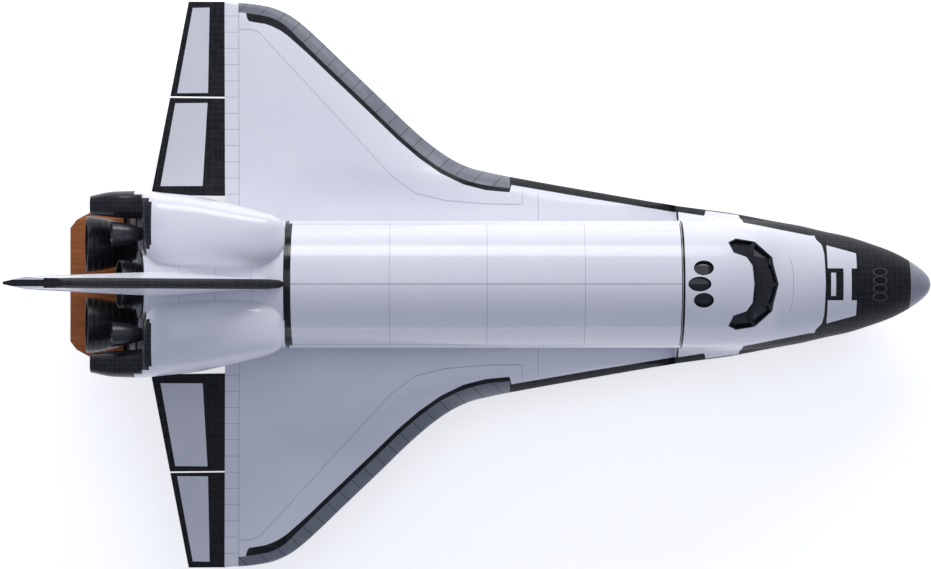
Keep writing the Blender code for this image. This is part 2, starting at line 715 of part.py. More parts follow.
def make_pods(build):
    """Manoeuvring pods on the shoulders of the aft fuselage, each with its nozzle."""
    grown = build.guide("guide_aft_form_grown", aft_form(BAY_REAR + 1, 0.0006, -16.5))
    direction = engine_direction(NOZZLE_CANT)
    for name, side in SIDES.items():
        pod = build.node(f"manoeuvring_pod_{name}",
                         loft([pod_ring(*row) for row in POD_ROWS]).on_side(side), "white_tile")
        pivot = NOZZLE_PIVOT.copy()
        socket = rod(pivot - direction * (NOZZLE_BALL + SEAT), pivot + direction * 2, 0.40, 20)
        build.cut(pod, grown, build.guide(f"guide_nozzle_socket_{name}", socket.on_side(side)))
        profile = ball_profile(NOZZLE_BALL) + [(0.2, 0.12), (0.5, 0.27), (1.0, 0.42),
                                               (1.68, 0.5), (1.68, 0.47), (1.0, 0.39),
                                               (0.5, 0.24), (0.25, 0)]
        nozzle = lathe(profile, 16).moved(aimed(pivot, direction)).on_side(side)
        pivot.y *= side
        build.node(f"pod_nozzle_{name}", nozzle, "nozzle_metal", pivot)


LEADING_EDGE = [
    # x, y of the wing's edge seen from above, port side
    (8.835, 3.33), (5.40, 3.92), (1.87, 4.55), (1.03, 4.72), (0.19, 4.93), (-0.65, 5.33),
    (-1.49, 5.92), (-2.34, 6.65), (-3.60, 7.87), (-5.28, 9.47), (-6.13, 10.29), (-6.97, 11.04),
    (-7.39, 11.34), (-7.81, 11.55), (-8.23, 11.70), (-9.07, 11.84), (-10.0, 11.89),
]
ELEVON_HINGE_ROOT = Vector((-10.28, 3.75, 0.50))
ELEVON_HINGE_TIP = Vector((-10.20, 11.92, 0.98))
ELEVON_NOSE = (0.25, 0.13)          # radius at the root and at the tip
ELEVON_ROOT_Y = 3.75
ELEVON_TIP_Y = 11.89
CARBON_WIDTH = 0.58                 # leading edge panels, across the edge
CARBON_ENDS = (1.87, -9.55)
DIHEDRAL = math.tan(math.radians(3.5))
WING_ROOT_Y = BODY_RADIUS + SEAT
MAIN_WELL = {"x": (-4.95, -1.95), "y": (2.72, 4.25), "top": 1.02}


def edge_x(y):
    """Where the leading edge is, at a distance from the centre line."""
    if y <= LEADING_EDGE[0][1]:
        return LEADING_EDGE[0][0]
    for (near_x, near_y), (far_x, far_y) in zip(LEADING_EDGE, LEADING_EDGE[1:]):
        if y <= far_y:
            return near_x + (far_x - near_x) * (y - near_y) / (far_y - near_y)
    return LEADING_EDGE[-1][0]


def hinge_at(y):
    share = (y - ELEVON_HINGE_ROOT.y) / (ELEVON_HINGE_TIP.y - ELEVON_HINGE_ROOT.y)
    point = ELEVON_HINGE_ROOT.lerp(ELEVON_HINGE_TIP, share)
    return point, ELEVON_NOSE[0] + (ELEVON_NOSE[1] - ELEVON_NOSE[0]) * share


def wing_section(y):
    """Closed (x, z) section at a distance from the centre line, nose first over the top."""
    front = edge_x(y)
    hinge, nose = hinge_at(max(y, ELEVON_ROOT_Y))
    rear = hinge.x + 0.6 * nose
    chord = front - rear
    span = (y - BODY_RADIUS) / (ELEVON_TIP_Y - BODY_RADIUS)
    base = (y - BODY_RADIUS) * DIHEDRAL * (1 - 0.5 * ease(1 - 3 * span))
    rear_top = hinge.z + nose
    rear_low = max(hinge.z - nose, base)
    thick = min(1.50 * (1 - span) + 0.34 * span, 0.13 * chord + 0.30)
    lip = 0.42 * thick
    top, low = [], []
    blunt = y < LEADING_EDGE[0][1] + 0.01
    for share in (0.0, 0.012, 0.05, 0.14, 0.32, 0.6):
        rise = min(1.0, share / 0.32)
        crown = base + lip + (thick - lip) * math.sin(math.pi / 2 * rise) ** 0.75
        if share > 0.32:
            fall = (share - 0.32) / 0.68
            crown = base + thick + (rear_top - base - thick) * fall
        if share == 0.0 and blunt:
            crown = base + lip + 0.55 * (thick - lip) * (1.2 - (y - BODY_RADIUS))
        top.append((front - chord * share, crown))
    for share in (0.6, 0.14, 0.05, 0.012):
        drop = lip * max(0.0, 1 - share / 0.09) ** 2
        foot = base + drop
        if share > 0.32:
            foot = base + (rear_low - base) * (share - 0.32) / 0.68
        low.append((front - chord * share, foot))
    return top + [(rear, rear_top), (rear, rear_low)] + low


def wing_form():
    stations = [WING_ROOT_Y] + [y for x, y in LEADING_EDGE]
    return loft([[(x, y, z) for x, z in wing_section(y)] for y in stations])


def carbon_outline(gap=0.0):
    """Band along the leading edge, seen from above, and past the edge. A gap narrows it."""
    edge = [Vector((x, y)) for x, y in LEADING_EDGE if x < 1.9]
    inner, outer = [], []
    for i, point in enumerate(edge):
        ahead = edge[max(i - 1, 0)]
        behind = edge[min(i + 1, len(edge) - 1)]
        run = (behind - ahead).normalized()
        out = Vector((-run.y, run.x))
        if out.y < 0:
            out = -out
        width = CARBON_WIDTH - 0.14 * ease((point.y - 10.5) / 1.2) - gap
        inner.append(point - out * width)
        outer.append(point + out * 0.4)
    front, rear = CARBON_ENDS[0] - gap, CARBON_ENDS[1] + gap
    inner[0] = Vector((front, edge[0].y - 0.5 + gap))
    outer[0] = Vector((front, edge[0].y + 0.4))
    inner[-1] = Vector((rear, 11.45 + gap))
    outer[-1] = Vector((rear, 12.4))
    return [(p.x, p.y) for p in inner + outer[::-1]]


def make_wings(build):
    """Solid wings with their coves, gear wells and separate carbon leading edges."""
    tip = hinge_at(ELEVON_TIP_Y + 0.6)[0]
    root = hinge_at(ELEVON_ROOT_Y - 1.3)[0]
    along = (tip - root).length
    radii = hinge_at(ELEVON_ROOT_Y - 1.3)[1], hinge_at(ELEVON_TIP_Y + 0.6)[1]
    cove = hinge_cutter(root, tip, *radii, [along * 0.36, along * 0.78])
    band = prism(carbon_outline(), -1, 4)
    narrow = prism(carbon_outline(SEAT), -1, 4)
    (well_low_x, well_high_x), (well_low_y, well_high_y) = MAIN_WELL["x"], MAIN_WELL["y"]
    well = box((well_low_x, well_low_y, -1), (well_high_x, well_high_y, MAIN_WELL["top"]))
    for name, side in SIDES.items():
        form = wing_form().on_side(side)
        wing = build.node(f"wing_{name}", form, "white_tile", sharp=30)
        build.cut(wing, build.guide(f"guide_carbon_{name}", band.on_side(side)),
                  build.guide(f"guide_elevon_cove_{name}", cove.on_side(side)),
                  build.guide(f"guide_main_well_{name}", well.on_side(side)))
        edge = build.node(f"wing_leading_edge_{name}", form, "reinforced_carbon", sharp=30)
        build.keep(edge, build.guide(f"guide_carbon_gap_{name}", narrow.on_side(side)))


def elevon_ring(y):
    """Section square to the hinge line: round nose, flat flanks and a thin rear edge."""
    hinge, nose = hinge_at(y)
    along = (ELEVON_HINGE_TIP - ELEVON_HINGE_ROOT).normalized()
    ahead = Vector((1, 0, 0))
    ahead = (ahead - along * ahead.dot(along)).normalized()
    up = ahead.cross(along)
    reach = hinge.x + 13.2 - 0.2 * (y - 4.16)
    drop = 0.12 + 0.10 * (hinge.z - 0.3)
    section = nose_arc((0, 0), nose, -97.5, 97.5)
    section += [(-reach, 0.035 - drop), (-reach, -0.035 - drop)]
    return [hinge + ahead * forward + up * rise for forward, rise in section]


def make_elevons(build):
    spans = {"inboard": (ELEVON_ROOT_Y, ELEVON_SPLIT - 0.03),
             "outboard": (ELEVON_SPLIT + 0.03, ELEVON_TIP_Y)}
    for place, (low, high) in spans.items():
        shape = loft([elevon_ring(y) for y in (low, high)])
        for name, side in SIDES.items():
            pivot = hinge_at(0.5 * (low + high))[0].copy()
            pivot.y *= side
            build.node(f"elevon_{place}_{name}", shape.on_side(side), "black_tile", pivot)


FIN_ROWS = [
    # z, leading edge x, trailing edge x, half thickness at the hinge
    (13.45, -15.35, -17.66, 0.24),
    (13.15, -15.02, -17.60, 0.26),
    (7.25, -9.12, -13.20, 0.465),
    (5.20, -7.07, -12.45, 0.50),
]


def fin_half_thickness(z):
    return table_value(FIN_ROWS, 3, z)


def hinge_x_at(z):
    share = (z - RUDDER_FOOT.z) / (RUDDER_HEAD.z - RUDDER_FOOT.z)
    return RUDDER_FOOT.x + (RUDDER_HEAD.x - RUDDER_FOOT.x) * share


def fin_ring(z):
    front, rear = table_value(FIN_ROWS, 1, z), table_value(FIN_ROWS, 2, z)
    hinge, half = hinge_x_at(z), fin_half_thickness(z)
    half_points = [(front, 0.0), (front - 0.05, 0.09), (front - 0.22, 0.16),
                   (hinge, half), (rear, 0.05)]
    points = half_points + [(x, -y) for x, y in half_points[:0:-1]]
    return [(x, y, z) for x, y in points]


def rudder_frame():
    """+X up the hinge line, +Y to port, and +Z at right angles to both, to the front."""
    return aimed(RUDDER_FOOT, RUDDER_HEAD - RUDDER_FOOT)


def rudder_half(along):
    point = rudder_frame() @ Vector((along, 0, 0))
    return fin_half_thickness(point.z)


def rudder_chord(along):
    length = (RUDDER_HEAD - RUDDER_FOOT).length
    return 1.75 - 0.80 * along / length


RUDDER_SHAFT_SHARE = 0.88           # shaft radius as a share of the half thickness


def make_fin(build):
    length = (RUDDER_HEAD - RUDDER_FOOT).length
    frame = rudder_frame()
    ahead = 1 if (frame @ Vector((0, 0, 1))).x > RUDDER_FOOT.x else -1
    fin = build.node("vertical_fin", loft([fin_ring(row[0]) for row in FIN_ROWS]),
                     "white_tile", sharp=30)
    rings = []
    for along in (-0.02, length + 0.02):
        half = rudder_half(along)
        corners = [(-half - 0.06, -3.2), (-half - 0.06, 0.80 * half + 0.03),
                   (-0.3 * half, half + 0.015)]
        corners += [(-y, z) for y, z in corners[::-1]]
        rings.append([(along, y, ahead * z) for y, z in corners])
    build.cut(fin, build.guide("guide_rudder_bay", loft(rings).moved(frame)),
              build.guide("guide_aft_form_under_fin", aft_form(BAY_REAR + 1, 0.0006, -16.5)))

    foot, head = rudder_half(0), rudder_half(length)
    steps = 48
    shaft = lathe([(-0.0197, 0), (-0.0197, 0.16), (0, foot * RUDDER_SHAFT_SHARE),
                   (length, head * RUDDER_SHAFT_SHARE), (length, 0)], steps).moved(frame)
    build.node("rudder_drive_shaft", shaft, "shaft_steel", RUDDER_FOOT)

    bearing = 1 / math.cos(math.pi / steps)
    for name, side in SIDES.items():
        rings = []
        for along in (0.006, length - 0.006):
            half = rudder_half(along)
            groove = half * RUDDER_SHAFT_SHARE * bearing + SEAT
            turns = [math.radians(90 * i / 12) for i in range(13)]
            arc = [(groove * math.cos(a) + 0.003, groove * math.sin(a)) for a in turns]
            chord = rudder_chord(along)
            section = arc + [(0.003, chord), (0.03, chord), (half, 0.0)]
            rings.append([(along, y, -ahead * z) for y, z in section])
        panel = loft(rings).moved(frame).on_side(side)
        build.node(f"speedbrake_{name}", panel, "white_tile", RUDDER_FOOT)


def tyre_flat(tyre):
    """Distance from an axle to the flat between two corners of its faceted tyre."""
    return tyre["radius"] * math.cos(math.pi / WHEEL_STEPS)


def ground_height(x, axle_z, tyre):
    """Level of the floor under a wheel, measured along the pitched vertical."""
    return math.cos(REST_PITCH) * axle_z - math.sin(REST_PITCH) * x - tyre_flat(tyre)


def nose_axle_z():
    """Axle height that puts the nose tyres on the same floor as the main ones."""
    floor = ground_height(MAIN_GEAR_X, MAIN_AXLE_Z, MAIN_TYRE)
    rise = floor + math.sin(REST_PITCH) * NOSE_GEAR_X + tyre_flat(NOSE_TYRE)
    return rise / math.cos(REST_PITCH)


def across_axle(centre):
    """Matrix that lays a turned shape along +Y at a wheel's centre, a flat on the floor."""
    pitch = Matrix.Rotation(-REST_PITCH, 4, "Y")
    return Matrix.Translation(centre) @ pitch @ aimed((0, 0, 0), (0, 1, 0), roll=(1, 0, 0))


def tyre_shape(tyre):
    radius, half, rim = tyre["radius"], tyre["width"] / 2, tyre["rim"] + SEAT
    profile = [(-0.62 * half, rim), (-half, 0.5 * (radius + rim)), (-0.86 * half, 0.93 * radius),
               (-0.5 * half, radius), (0.5 * half, radius), (0.86 * half, 0.93 * radius),
               (half, 0.5 * (radius + rim)), (0.62 * half, rim)]
    return lathe(profile, WHEEL_STEPS, math.pi / WHEEL_STEPS)


def wheels_shape(tyre, axle_radius):
    """Two rims on one axle."""
    half_gap, half, rim = tyre["spacing"] / 2, tyre["width"] / 2, tyre["rim"]
    inner, outer = half_gap - 0.62 * half, half_gap + 0.62 * half
    well = half_gap + 0.15 * half
    side = [(inner, axle_radius), (inner, rim), (outer, rim), (outer, 0.85 * rim),
            (well, 0.6 * rim), (well, 0.0)]
    profile = [(-along, radius) for along, radius in reversed(side)] + side
    return lathe(profile, WHEEL_STEPS, math.pi / WHEEL_STEPS)


def axle_bearing(build, name, carrier, centre, axle_radius, half_width):
    """Round lug on a leg with a bore for the axle."""
    lug = rod(centre - Vector((0, half_width, 0)), centre + Vector((0, half_width, 0)),
              axle_radius * 1.75)
    build.join(carrier, build.guide(f"guide_{name}_lug", lug))
    bore_radius = (axle_radius + SEAT) / math.cos(math.pi / WHEEL_STEPS)
    bore = lathe([(-1, 0), (-1, bore_radius), (1, bore_radius), (1, 0)],
                 WHEEL_STEPS).moved(across_axle(centre))
    build.cut(carrier, build.guide(f"guide_{name}_bore", bore))


def make_wheels(build, name, centre, tyre, axle_radius):
    wheels = wheels_shape(tyre, axle_radius).moved(across_axle(centre))
    build.node(f"{name}_wheels", wheels, "wheel_metal", centre)
    for side_name, side in SIDES.items():
        middle = centre + Vector((0, side * tyre["spacing"] / 2, 0))
        build.node(f"{name}_tyre_{side_name}", tyre_shape(tyre).moved(across_axle(middle)),
                   "tyre_black", centre)


def make_main_gear(build):
    axle_radius = 0.085
    top = MAIN_WELL["top"] - SEAT
    (low_x, high_x), (low_y, high_y) = MAIN_WELL["x"], MAIN_WELL["y"]
    for name, side in SIDES.items():
        y = MAIN_GEAR_Y * side
        centre = Vector((MAIN_GEAR_X, y, MAIN_AXLE_Z))
        strut = build.node(f"main_gear_strut_{name}",
                           rod((MAIN_GEAR_X, y, top), (MAIN_GEAR_X, y, -1.35), 0.17, 16),
                           "gear_metal")
        parts = [rod((MAIN_GEAR_X, y, -1.2), (MAIN_GEAR_X, y, MAIN_AXLE_Z), 0.115, 12),
                 rod((MAIN_GEAR_X, (low_y + SEAT) * side, 0.8),
                     (MAIN_GEAR_X, (high_y - 0.0805) * side, 0.8), 0.13, 12),
                 rod((MAIN_GEAR_X, y, -0.95), (high_x - 0.1, y, 0.9), 0.075, 8),
                 rod((high_x - 0.1, y - 0.3, 0.9), (high_x - 0.1, y + 0.3, 0.9), 0.0995, 12)]
        for number, shape in enumerate(parts):
            build.join(strut, build.guide(f"guide_main_leg_{name}_{number}", shape))
        axle_bearing(build, f"main_gear_{name}", strut, centre, axle_radius, 0.2)
        make_wheels(build, f"main_gear_{name}", centre, MAIN_TYRE, axle_radius)
        door = box((low_x + 0.05, high_y - 0.08, -1.25), (high_x - 0.05, high_y - SEAT, 0.45))
        build.node(f"main_gear_door_{name}", door.on_side(side), "black_tile")


def make_nose_gear(build):
    axle_radius = 0.06
    centre = Vector((NOSE_GEAR_X, 0, nose_axle_z()))
    top = 1.25 - SEAT
    strut = build.node("nose_gear_strut",
                       rod((NOSE_GEAR_X, 0, top), (NOSE_GEAR_X, 0, -0.55), 0.13, 16),
                       "gear_metal")
    parts = [rod((NOSE_GEAR_X, -0.5997, 0.85), (NOSE_GEAR_X, 0.5997, 0.85), 0.09, 12),
             rod((NOSE_GEAR_X, 0, -0.35), (16.18, 0, 0.95), 0.05, 8),
             rod((16.18, -0.2, 0.95), (16.18, 0.2, 0.95), 0.1195, 12)]
    for number, shape in enumerate(parts):
        build.join(strut, build.guide(f"guide_nose_leg_{number}", shape))
    bore_top = -0.1
    steps = 24
    piston_radius = 0.08
    bore = rod((NOSE_GEAR_X, 0, bore_top), (NOSE_GEAR_X, 0, -1),
               piston_radius / math.cos(math.pi / steps) + SEAT, steps)
    build.cut(strut, build.guide("guide_nose_piston_bore", bore))
    fork = build.node("nose_gear_fork",
                      rod((NOSE_GEAR_X, 0, bore_top - SEAT), centre, piston_radius, steps),
                      "gear_metal", (NOSE_GEAR_X, 0, centre.z))
    axle_bearing(build, "nose_gear", fork, centre, axle_radius, 0.13)
    make_wheels(build, "nose_gear", centre, NOSE_TYRE, axle_radius)
    for name, side in SIDES.items():
        door = box((13.98, 0.53, -0.55), (16.22, 0.6 - SEAT, 0.4))
        build.node(f"nose_gear_door_{name}", door.on_side(side), "black_tile")


def stand_on_floor(build):
    """Pitch the vehicle onto its tyres and centre its box over the origin."""
    build.root.rotation_euler = (0, REST_PITCH, 0)
    bpy.context.view_layer.update()
    graph = bpy.context.evaluated_depsgraph_get()
    reach = []
    for thing in build.nodes:
        seen = thing.evaluated_get(graph)
        reach += [seen.matrix_world @ v.co for v in seen.data.vertices]
    middle_x = 0.5 * (min(p.x for p in reach) + max(p.x for p in reach))
    build.root.location = (-middle_x, 0, -min(p.z for p in reach))
    bpy.context.view_layer.update()


def main():
    clear_scene()
    build = Builder()
    make_forward_fuselage(build)
    make_mid_fuselage(build)
    make_payload_doors(build)
    make_aft_fuselage(build)
    make_body_flap(build)
    make_main_engines(build)
    make_pods(build)
    make_wings(build)
    make_elevons(build)
    make_fin(build)
    make_main_gear(build)
    make_nose_gear(build)
    stand_on_floor(build)


main()
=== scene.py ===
"""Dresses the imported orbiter: tiles, panels, engine bells, glass, studio light and camera."""
import json
from functools import reduce
from math import copysign, cos, hypot, pi, radians, sin, tan

import bmesh
import bpy
from mathutils import Matrix, Vector


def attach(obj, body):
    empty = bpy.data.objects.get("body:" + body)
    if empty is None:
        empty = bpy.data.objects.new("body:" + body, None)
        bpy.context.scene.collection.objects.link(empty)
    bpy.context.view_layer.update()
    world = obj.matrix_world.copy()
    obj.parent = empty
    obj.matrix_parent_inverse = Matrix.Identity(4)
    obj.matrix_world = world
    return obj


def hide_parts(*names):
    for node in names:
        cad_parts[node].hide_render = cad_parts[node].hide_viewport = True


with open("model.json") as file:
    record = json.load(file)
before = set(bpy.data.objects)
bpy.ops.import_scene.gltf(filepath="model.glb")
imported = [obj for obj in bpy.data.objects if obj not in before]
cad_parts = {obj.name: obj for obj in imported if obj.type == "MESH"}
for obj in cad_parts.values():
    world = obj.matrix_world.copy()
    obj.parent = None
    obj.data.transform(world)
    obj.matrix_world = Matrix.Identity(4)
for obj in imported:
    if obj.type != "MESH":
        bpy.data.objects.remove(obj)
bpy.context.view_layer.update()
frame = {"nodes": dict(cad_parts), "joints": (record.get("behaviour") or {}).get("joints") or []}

# Placement: the vehicle's own axes, pitched nose down onto its landing gear
PITCH = radians(3.5)
LEFT_AXLE = Vector((-4.3, 3.455, -2.335))
SIDES = {"left": 1, "right": -1}
JOINT_AT = {joint["name"]: Vector(joint["pos_m"]) for joint in frame["joints"]}


def vehicle_matrix():
    """From the vehicle's axes to the frame's, read off the left main axle."""
    turn = Matrix.Rotation(PITCH, 4, "Y")
    return Matrix.Translation(JOINT_AT["main_wheels_left_roll"] - turn @ LEFT_AXLE) @ turn


TO_FRAME = vehicle_matrix()


class Paint:
    """Builds one node material, with short names for the arithmetic."""

    def __init__(self, name):
        self.material = bpy.data.materials.new(name)
        self.material.use_nodes = True
        self.tree = self.material.node_tree
        self.shader = self.tree.nodes["Principled BSDF"]
        place = self.node("TexCoord").outputs["Object"]
        turn = self.node("VectorRotate")
        turn.rotation_type = "Y_AXIS"
        turn.inputs["Angle"].default_value = -PITCH
        moved = self.vector("SUBTRACT", place, tuple(TO_FRAME.translation))
        self.link(moved, turn.inputs["Vector"])
        self.place = turn.outputs[0]
        self.x, self.y, self.z = self.parts(self.place)
        self.side = self.math("ABSOLUTE", self.y)

    def node(self, kind):
        return self.tree.nodes.new("ShaderNode" + kind)

    def parts(self, vector):
        """The x, y and z of a vector."""
        node = self.node("SeparateXYZ")
        self.link(vector, node.inputs[0])
        return node.outputs

    def link(self, source, target):
        self.tree.links.new(source, target)

    def feed(self, value, target):
        if isinstance(value, bpy.types.NodeSocket):
            self.link(value, target)
        else:
            target.default_value = value

    def math(self, operation, *values, kind="Math"):
        node = self.node(kind)
        node.operation = operation
        for value, target in zip(values, node.inputs):
            self.feed(value, target)
        return node.outputs[0]

    def vector(self, operation, *values):
        return self.math(operation, *values, kind="VectorMath")

    def above(self, value, limit):
        return self.math("GREATER_THAN", value, limit)

    def below(self, value, limit):
        return self.math("LESS_THAN", value, limit)

    def within(self, value, low, high):
        return self.all(self.above(value, low), self.below(value, high))

    def all(self, *masks):
        return reduce(lambda one, two: self.math("MULTIPLY", one, two), masks)

    def any(self, *masks):
        return reduce(lambda one, two: self.math("MAXIMUM", one, two), masks)

    def no(self, mask):
        return self.math("SUBTRACT", 1.0, mask)

    def box(self, low, high):
        """Inside an upright box, given by (x, side) corners and seen from above."""
        return self.all(self.within(self.x, low[0], high[0]),
                        self.within(self.side, low[1], high[1]))

    def curve(self, value, points):
        """Straight lines between (input, output) points."""
        ordered = sorted(points)
        low_in, high_in = ordered[0][0], ordered[-1][0]
        outputs = [wanted for _, wanted in points]
        low_out, spread = min(outputs), max(outputs) - min(outputs)
        node = self.node("FloatCurve")
        curve = node.mapping.curves[0]
        while len(curve.points) < len(ordered):
            curve.points.new(0.5, 0.5)
        for dot, (given, wanted) in zip(curve.points, ordered):
            dot.location = ((given - low_in) / (high_in - low_in), (wanted - low_out) / spread)
            dot.handle_type = "VECTOR"
        node.mapping.update()
        share = self.math("DIVIDE", self.math("SUBTRACT", value, low_in), high_in - low_in)
        self.link(share, node.inputs["Value"])
        return self.math("ADD", self.math("MULTIPLY", node.outputs[0], spread), low_out)

    def near(self, value, target, width):
        """A line of a given width where a value passes a target."""
        distance = self.math("ABSOLUTE", self.math("SUBTRACT", value, target))
        return self.below(distance, width / 2)

    def grid(self, value, pitch, width, shift=0.0):
        """Lines a pitch apart."""
        step = self.math("PINGPONG", self.math("ADD", value, shift), pitch / 2)
        return self.below(step, width / 2)

    def noise(self, scale, detail=3.0, place=None):
        node = self.node("TexNoise")
        node.inputs["Scale"].default_value = scale
        node.inputs["Detail"].default_value = detail
        self.link(place or self.place, node.inputs["Vector"])
        return node.outputs["Fac"]

    def mix(self, mask, first, second):
        """Blend of two colours, or of two numbers."""
        node = self.node("Mix")
        numbers = isinstance(first, float)
        node.data_type = "FLOAT" if numbers else "RGBA"
        place, out = (2, 0) if numbers else (6, 2)
        for value, target in ((mask, 0), (first, place), (second, place + 1)):
            if isinstance(value, tuple):
                value = (*value, 1.0)
            self.feed(value, node.inputs[target])
        return node.outputs[out]

    def finish(self, colour, roughness, metallic=0.0, coat=0.0, bump=None, strength=0.0):
        for name, value in (("Base Color", colour), ("Roughness", roughness),
                            ("Metallic", metallic), ("Coat Weight", coat),
                            ("Coat Roughness", 0.08), ("Specular IOR Level", 0.25)):
            self.feed(value, self.shader.inputs[name])
        if bump is not None:
            node = self.node("Bump")
            node.inputs["Strength"].default_value = strength
            node.inputs["Distance"].default_value = 0.02
            self.link(bump, node.inputs["Height"])
            self.link(node.outputs[0], self.shader.inputs["Normal"])
        return self.material


# x, y, half length and half width of the roof's windows and of the thrusters' mouths
ROOF_WINDOWS = [(9.7, 0.66, 0.38, 0.27), (9.53, 0.0, 0.44, 0.27), (9.7, -0.66, 0.38, 0.27)]
THRUSTERS = [(17.2, y, 0.27, 0.145) for y in (-0.52, -0.17, 0.17, 0.52)]
THRUSTERS += [(15.1 + 0.33 * i, side * (1.74 - 0.055 * i), 0.1, 0.055)
              for i in range(4) for side in (-1, 1)]
NOSE_TOP_Z = 1.7                    # marks and thrusters show only above this height
WHITE_LINE = (0.3, 0.31, 0.36)
BLACK = (0.004, 0.0045, 0.006)
BLACK_LINE = (0.035, 0.037, 0.045)


def black_tiles(paint, pitch=0.26):
    """Colour of black tiles, a little different from tile to tile, with paler joints."""
    cell = paint.node("TexWhiteNoise")
    snapped = paint.vector("SNAP", paint.place, (pitch, pitch, pitch))
    paint.link(snapped, cell.inputs["Vector"])
    shade = paint.mix(cell.outputs["Value"], BLACK, (0.012, 0.0125, 0.016))
    joints = paint.any(*[paint.grid(value, pitch, 0.022) for value in (paint.x, paint.y)])
    return paint.mix(paint.math("MULTIPLY", joints, 0.6), shade, BLACK_LINE)


def white_skin(paint, lines):
    """White in two faintly different shades, with thin grey lines."""
    shade = paint.mix(paint.noise(0.35, 2.0), (0.76, 0.77, 0.83), (0.84, 0.85, 0.89))
    return paint.mix(paint.math("MULTIPLY", lines, 0.55), shade, WHITE_LINE)


def two_tone(paint, black, lines, pitch, roughness, coat):
    """White skin, with black tiles where the mask is set and a roughness for each."""
    colour = paint.mix(black, white_skin(paint, lines), black_tiles(paint, pitch))
    return paint.finish(colour, paint.mix(black, *roughness), coat=coat)


def plain_paint(name, low, high, roughness, metallic=0.0, coat=0.0, scale=3.0):
    """Two close colours in patches, with a fine grain."""
    paint = Paint(name)
    colour = paint.mix(paint.noise(scale), low, high)
    return paint.finish(colour, roughness, metallic, coat, paint.noise(scale * 20), 0.05)


def assign(node, material):
    target = frame["nodes"][node]
    target.data.materials.clear()
    target.data.materials.append(material)


def nose_black(paint):
    """Black nose with a rounded rear edge, and the black underside behind it."""
    front = paint.curve(paint.side, [(0.0, 14.86), (1.25, 14.83), (1.62, 14.76), (1.88, 14.52),
                                     (2.4, 14.4), (4.0, 14.3)])
    nose = paint.above(paint.x, front)
    edge = paint.curve(paint.x, [(8.8, 3.08), (10.05, 2.88), (10.06, 3.12), (11.47, 2.9),
                                 (11.48, 2.56), (14.3, 2.02), (19.5, 2.0)])
    chine = paint.all(paint.above(paint.side, edge), paint.below(paint.z, 3.3))
    low_z = paint.curve(paint.x, [(8.8, 0.68), (10.05, 0.88), (11.47, 1.38), (13.2, 1.5),
                                  (19.5, 1.3)])
    return paint.any(nose, chine, paint.below(paint.z, low_z))


def nose_white_marks(paint):
    """The white field between the thrusters, and the small rectangle behind it."""
    block = paint.box((14.95, 0.66), (16.2, 1.62))
    edge = paint.curve(paint.x, [(14.95, 1.62), (16.2, 1.29)])
    block = paint.all(block, paint.below(paint.side, edge))
    bar = paint.box((15.62, -1), (15.97, 0.68))
    small = paint.box((15.09, -1), (15.3, 0.48))
    return paint.all(paint.any(block, bar, small), paint.above(paint.z, NOSE_TOP_Z))


def window_black(paint):
    """Black surround of the six forward windows, and the rims of the roof's ovals."""
    rear = paint.curve(paint.side, [(0, 11.79), (0.757, 11.72), (1.108, 11.47), (1.288, 10.94),
                                    (1.71, 10.74), (1.86, 11.04), (3.5, 11.04)])
    front = paint.curve(paint.side, [(0, 12.86), (0.818, 12.64), (1.104, 12.6), (1.746, 11.86),
                                     (1.88, 11.04), (3.5, 11.04)])
    band = paint.all(paint.above(paint.x, rear), paint.below(paint.x, front),
                     paint.below(paint.side, 1.88), paint.above(paint.z, 3.0))
    rims = paint.all(ovals(paint, ROOF_WINDOWS, rim=0.03), paint.above(paint.z, 4.5))
    return paint.any(band, rims)


def ovals(paint, rows, scale=1.0, rim=0.0):
    """Mask of ovals seen from above, each scaled and then widened by a rim."""
    masks = []
    for x, y, half_length, half_width in rows:
        squares = []
        for value, middle, half in ((paint.x, x, half_length), (paint.y, y, half_width)):
            distance = paint.math("SUBTRACT", value, middle)
            share = paint.math("DIVIDE", distance, half * scale + rim)
            squares.append(paint.math("MULTIPLY", share, share))
        masks.append(paint.below(paint.math("ADD", *squares), 1.0))
    return paint.any(*masks)


def forward_paint():
    """White with the black nose and windshield surround, and thruster mouths: a grey rim round a
    near-black oval, which is the dark nozzle and painted shade in the recessed mouth.
    """
    paint = Paint("forward_skin")
    black = paint.all(nose_black(paint), paint.no(nose_white_marks(paint)))
    black = paint.any(black, window_black(paint))
    hoop_x = paint.curve(paint.side, [(0.0, 13.5), (0.6, 13.48), (1.1, 13.36), (3.5, 13.36)])
    hoop = paint.all(paint.near(paint.x, hoop_x, 0.03), paint.below(paint.side, 1.12))
    colour = paint.mix(black, white_skin(paint, hoop), black_tiles(paint))
    colour = paint.mix(paint.near(paint.x, 8.9, 0.09), colour, BLACK)
    top = paint.above(paint.z, NOSE_TOP_Z)
    # Thruster mouths: a grey rim, and inside it near-black for the dark nozzle together with
    # painted shade for the recess, which the skin does not cut
    for scale, shade in ((1.15, (0.1, 0.105, 0.115)), (1.0, (0.003, 0.003, 0.004))):
        colour = paint.mix(paint.all(ovals(paint, THRUSTERS, scale), top), colour, shade)
    return paint.finish(colour, paint.mix(black, 0.22, 0.6), coat=0.06)


def normal_up(paint):
    """How far a surface faces up, from the mesh's own normals."""
    return paint.parts(paint.node("TexCoord").outputs["Normal"])[2]


# x and y of the wing's edge seen from above, port side
WING_EDGE = [(8.835, 3.33), (5.4, 3.92), (1.87, 4.55), (1.03, 4.72), (0.19, 4.93), (-0.65, 5.33),
             (-1.49, 5.92), (-2.34, 6.65), (-3.6, 7.87), (-5.28, 9.47), (-6.13, 10.29),
             (-6.97, 11.04), (-7.39, 11.34), (-7.81, 11.55), (-8.23, 11.7), (-9.07, 11.84),
             (-10.0, 11.89)]
# Width of the black border at each of these points
BORDER = [0.28, 0.32, 0.36, 0.78, 0.78, 0.77] + [0.765] * 11


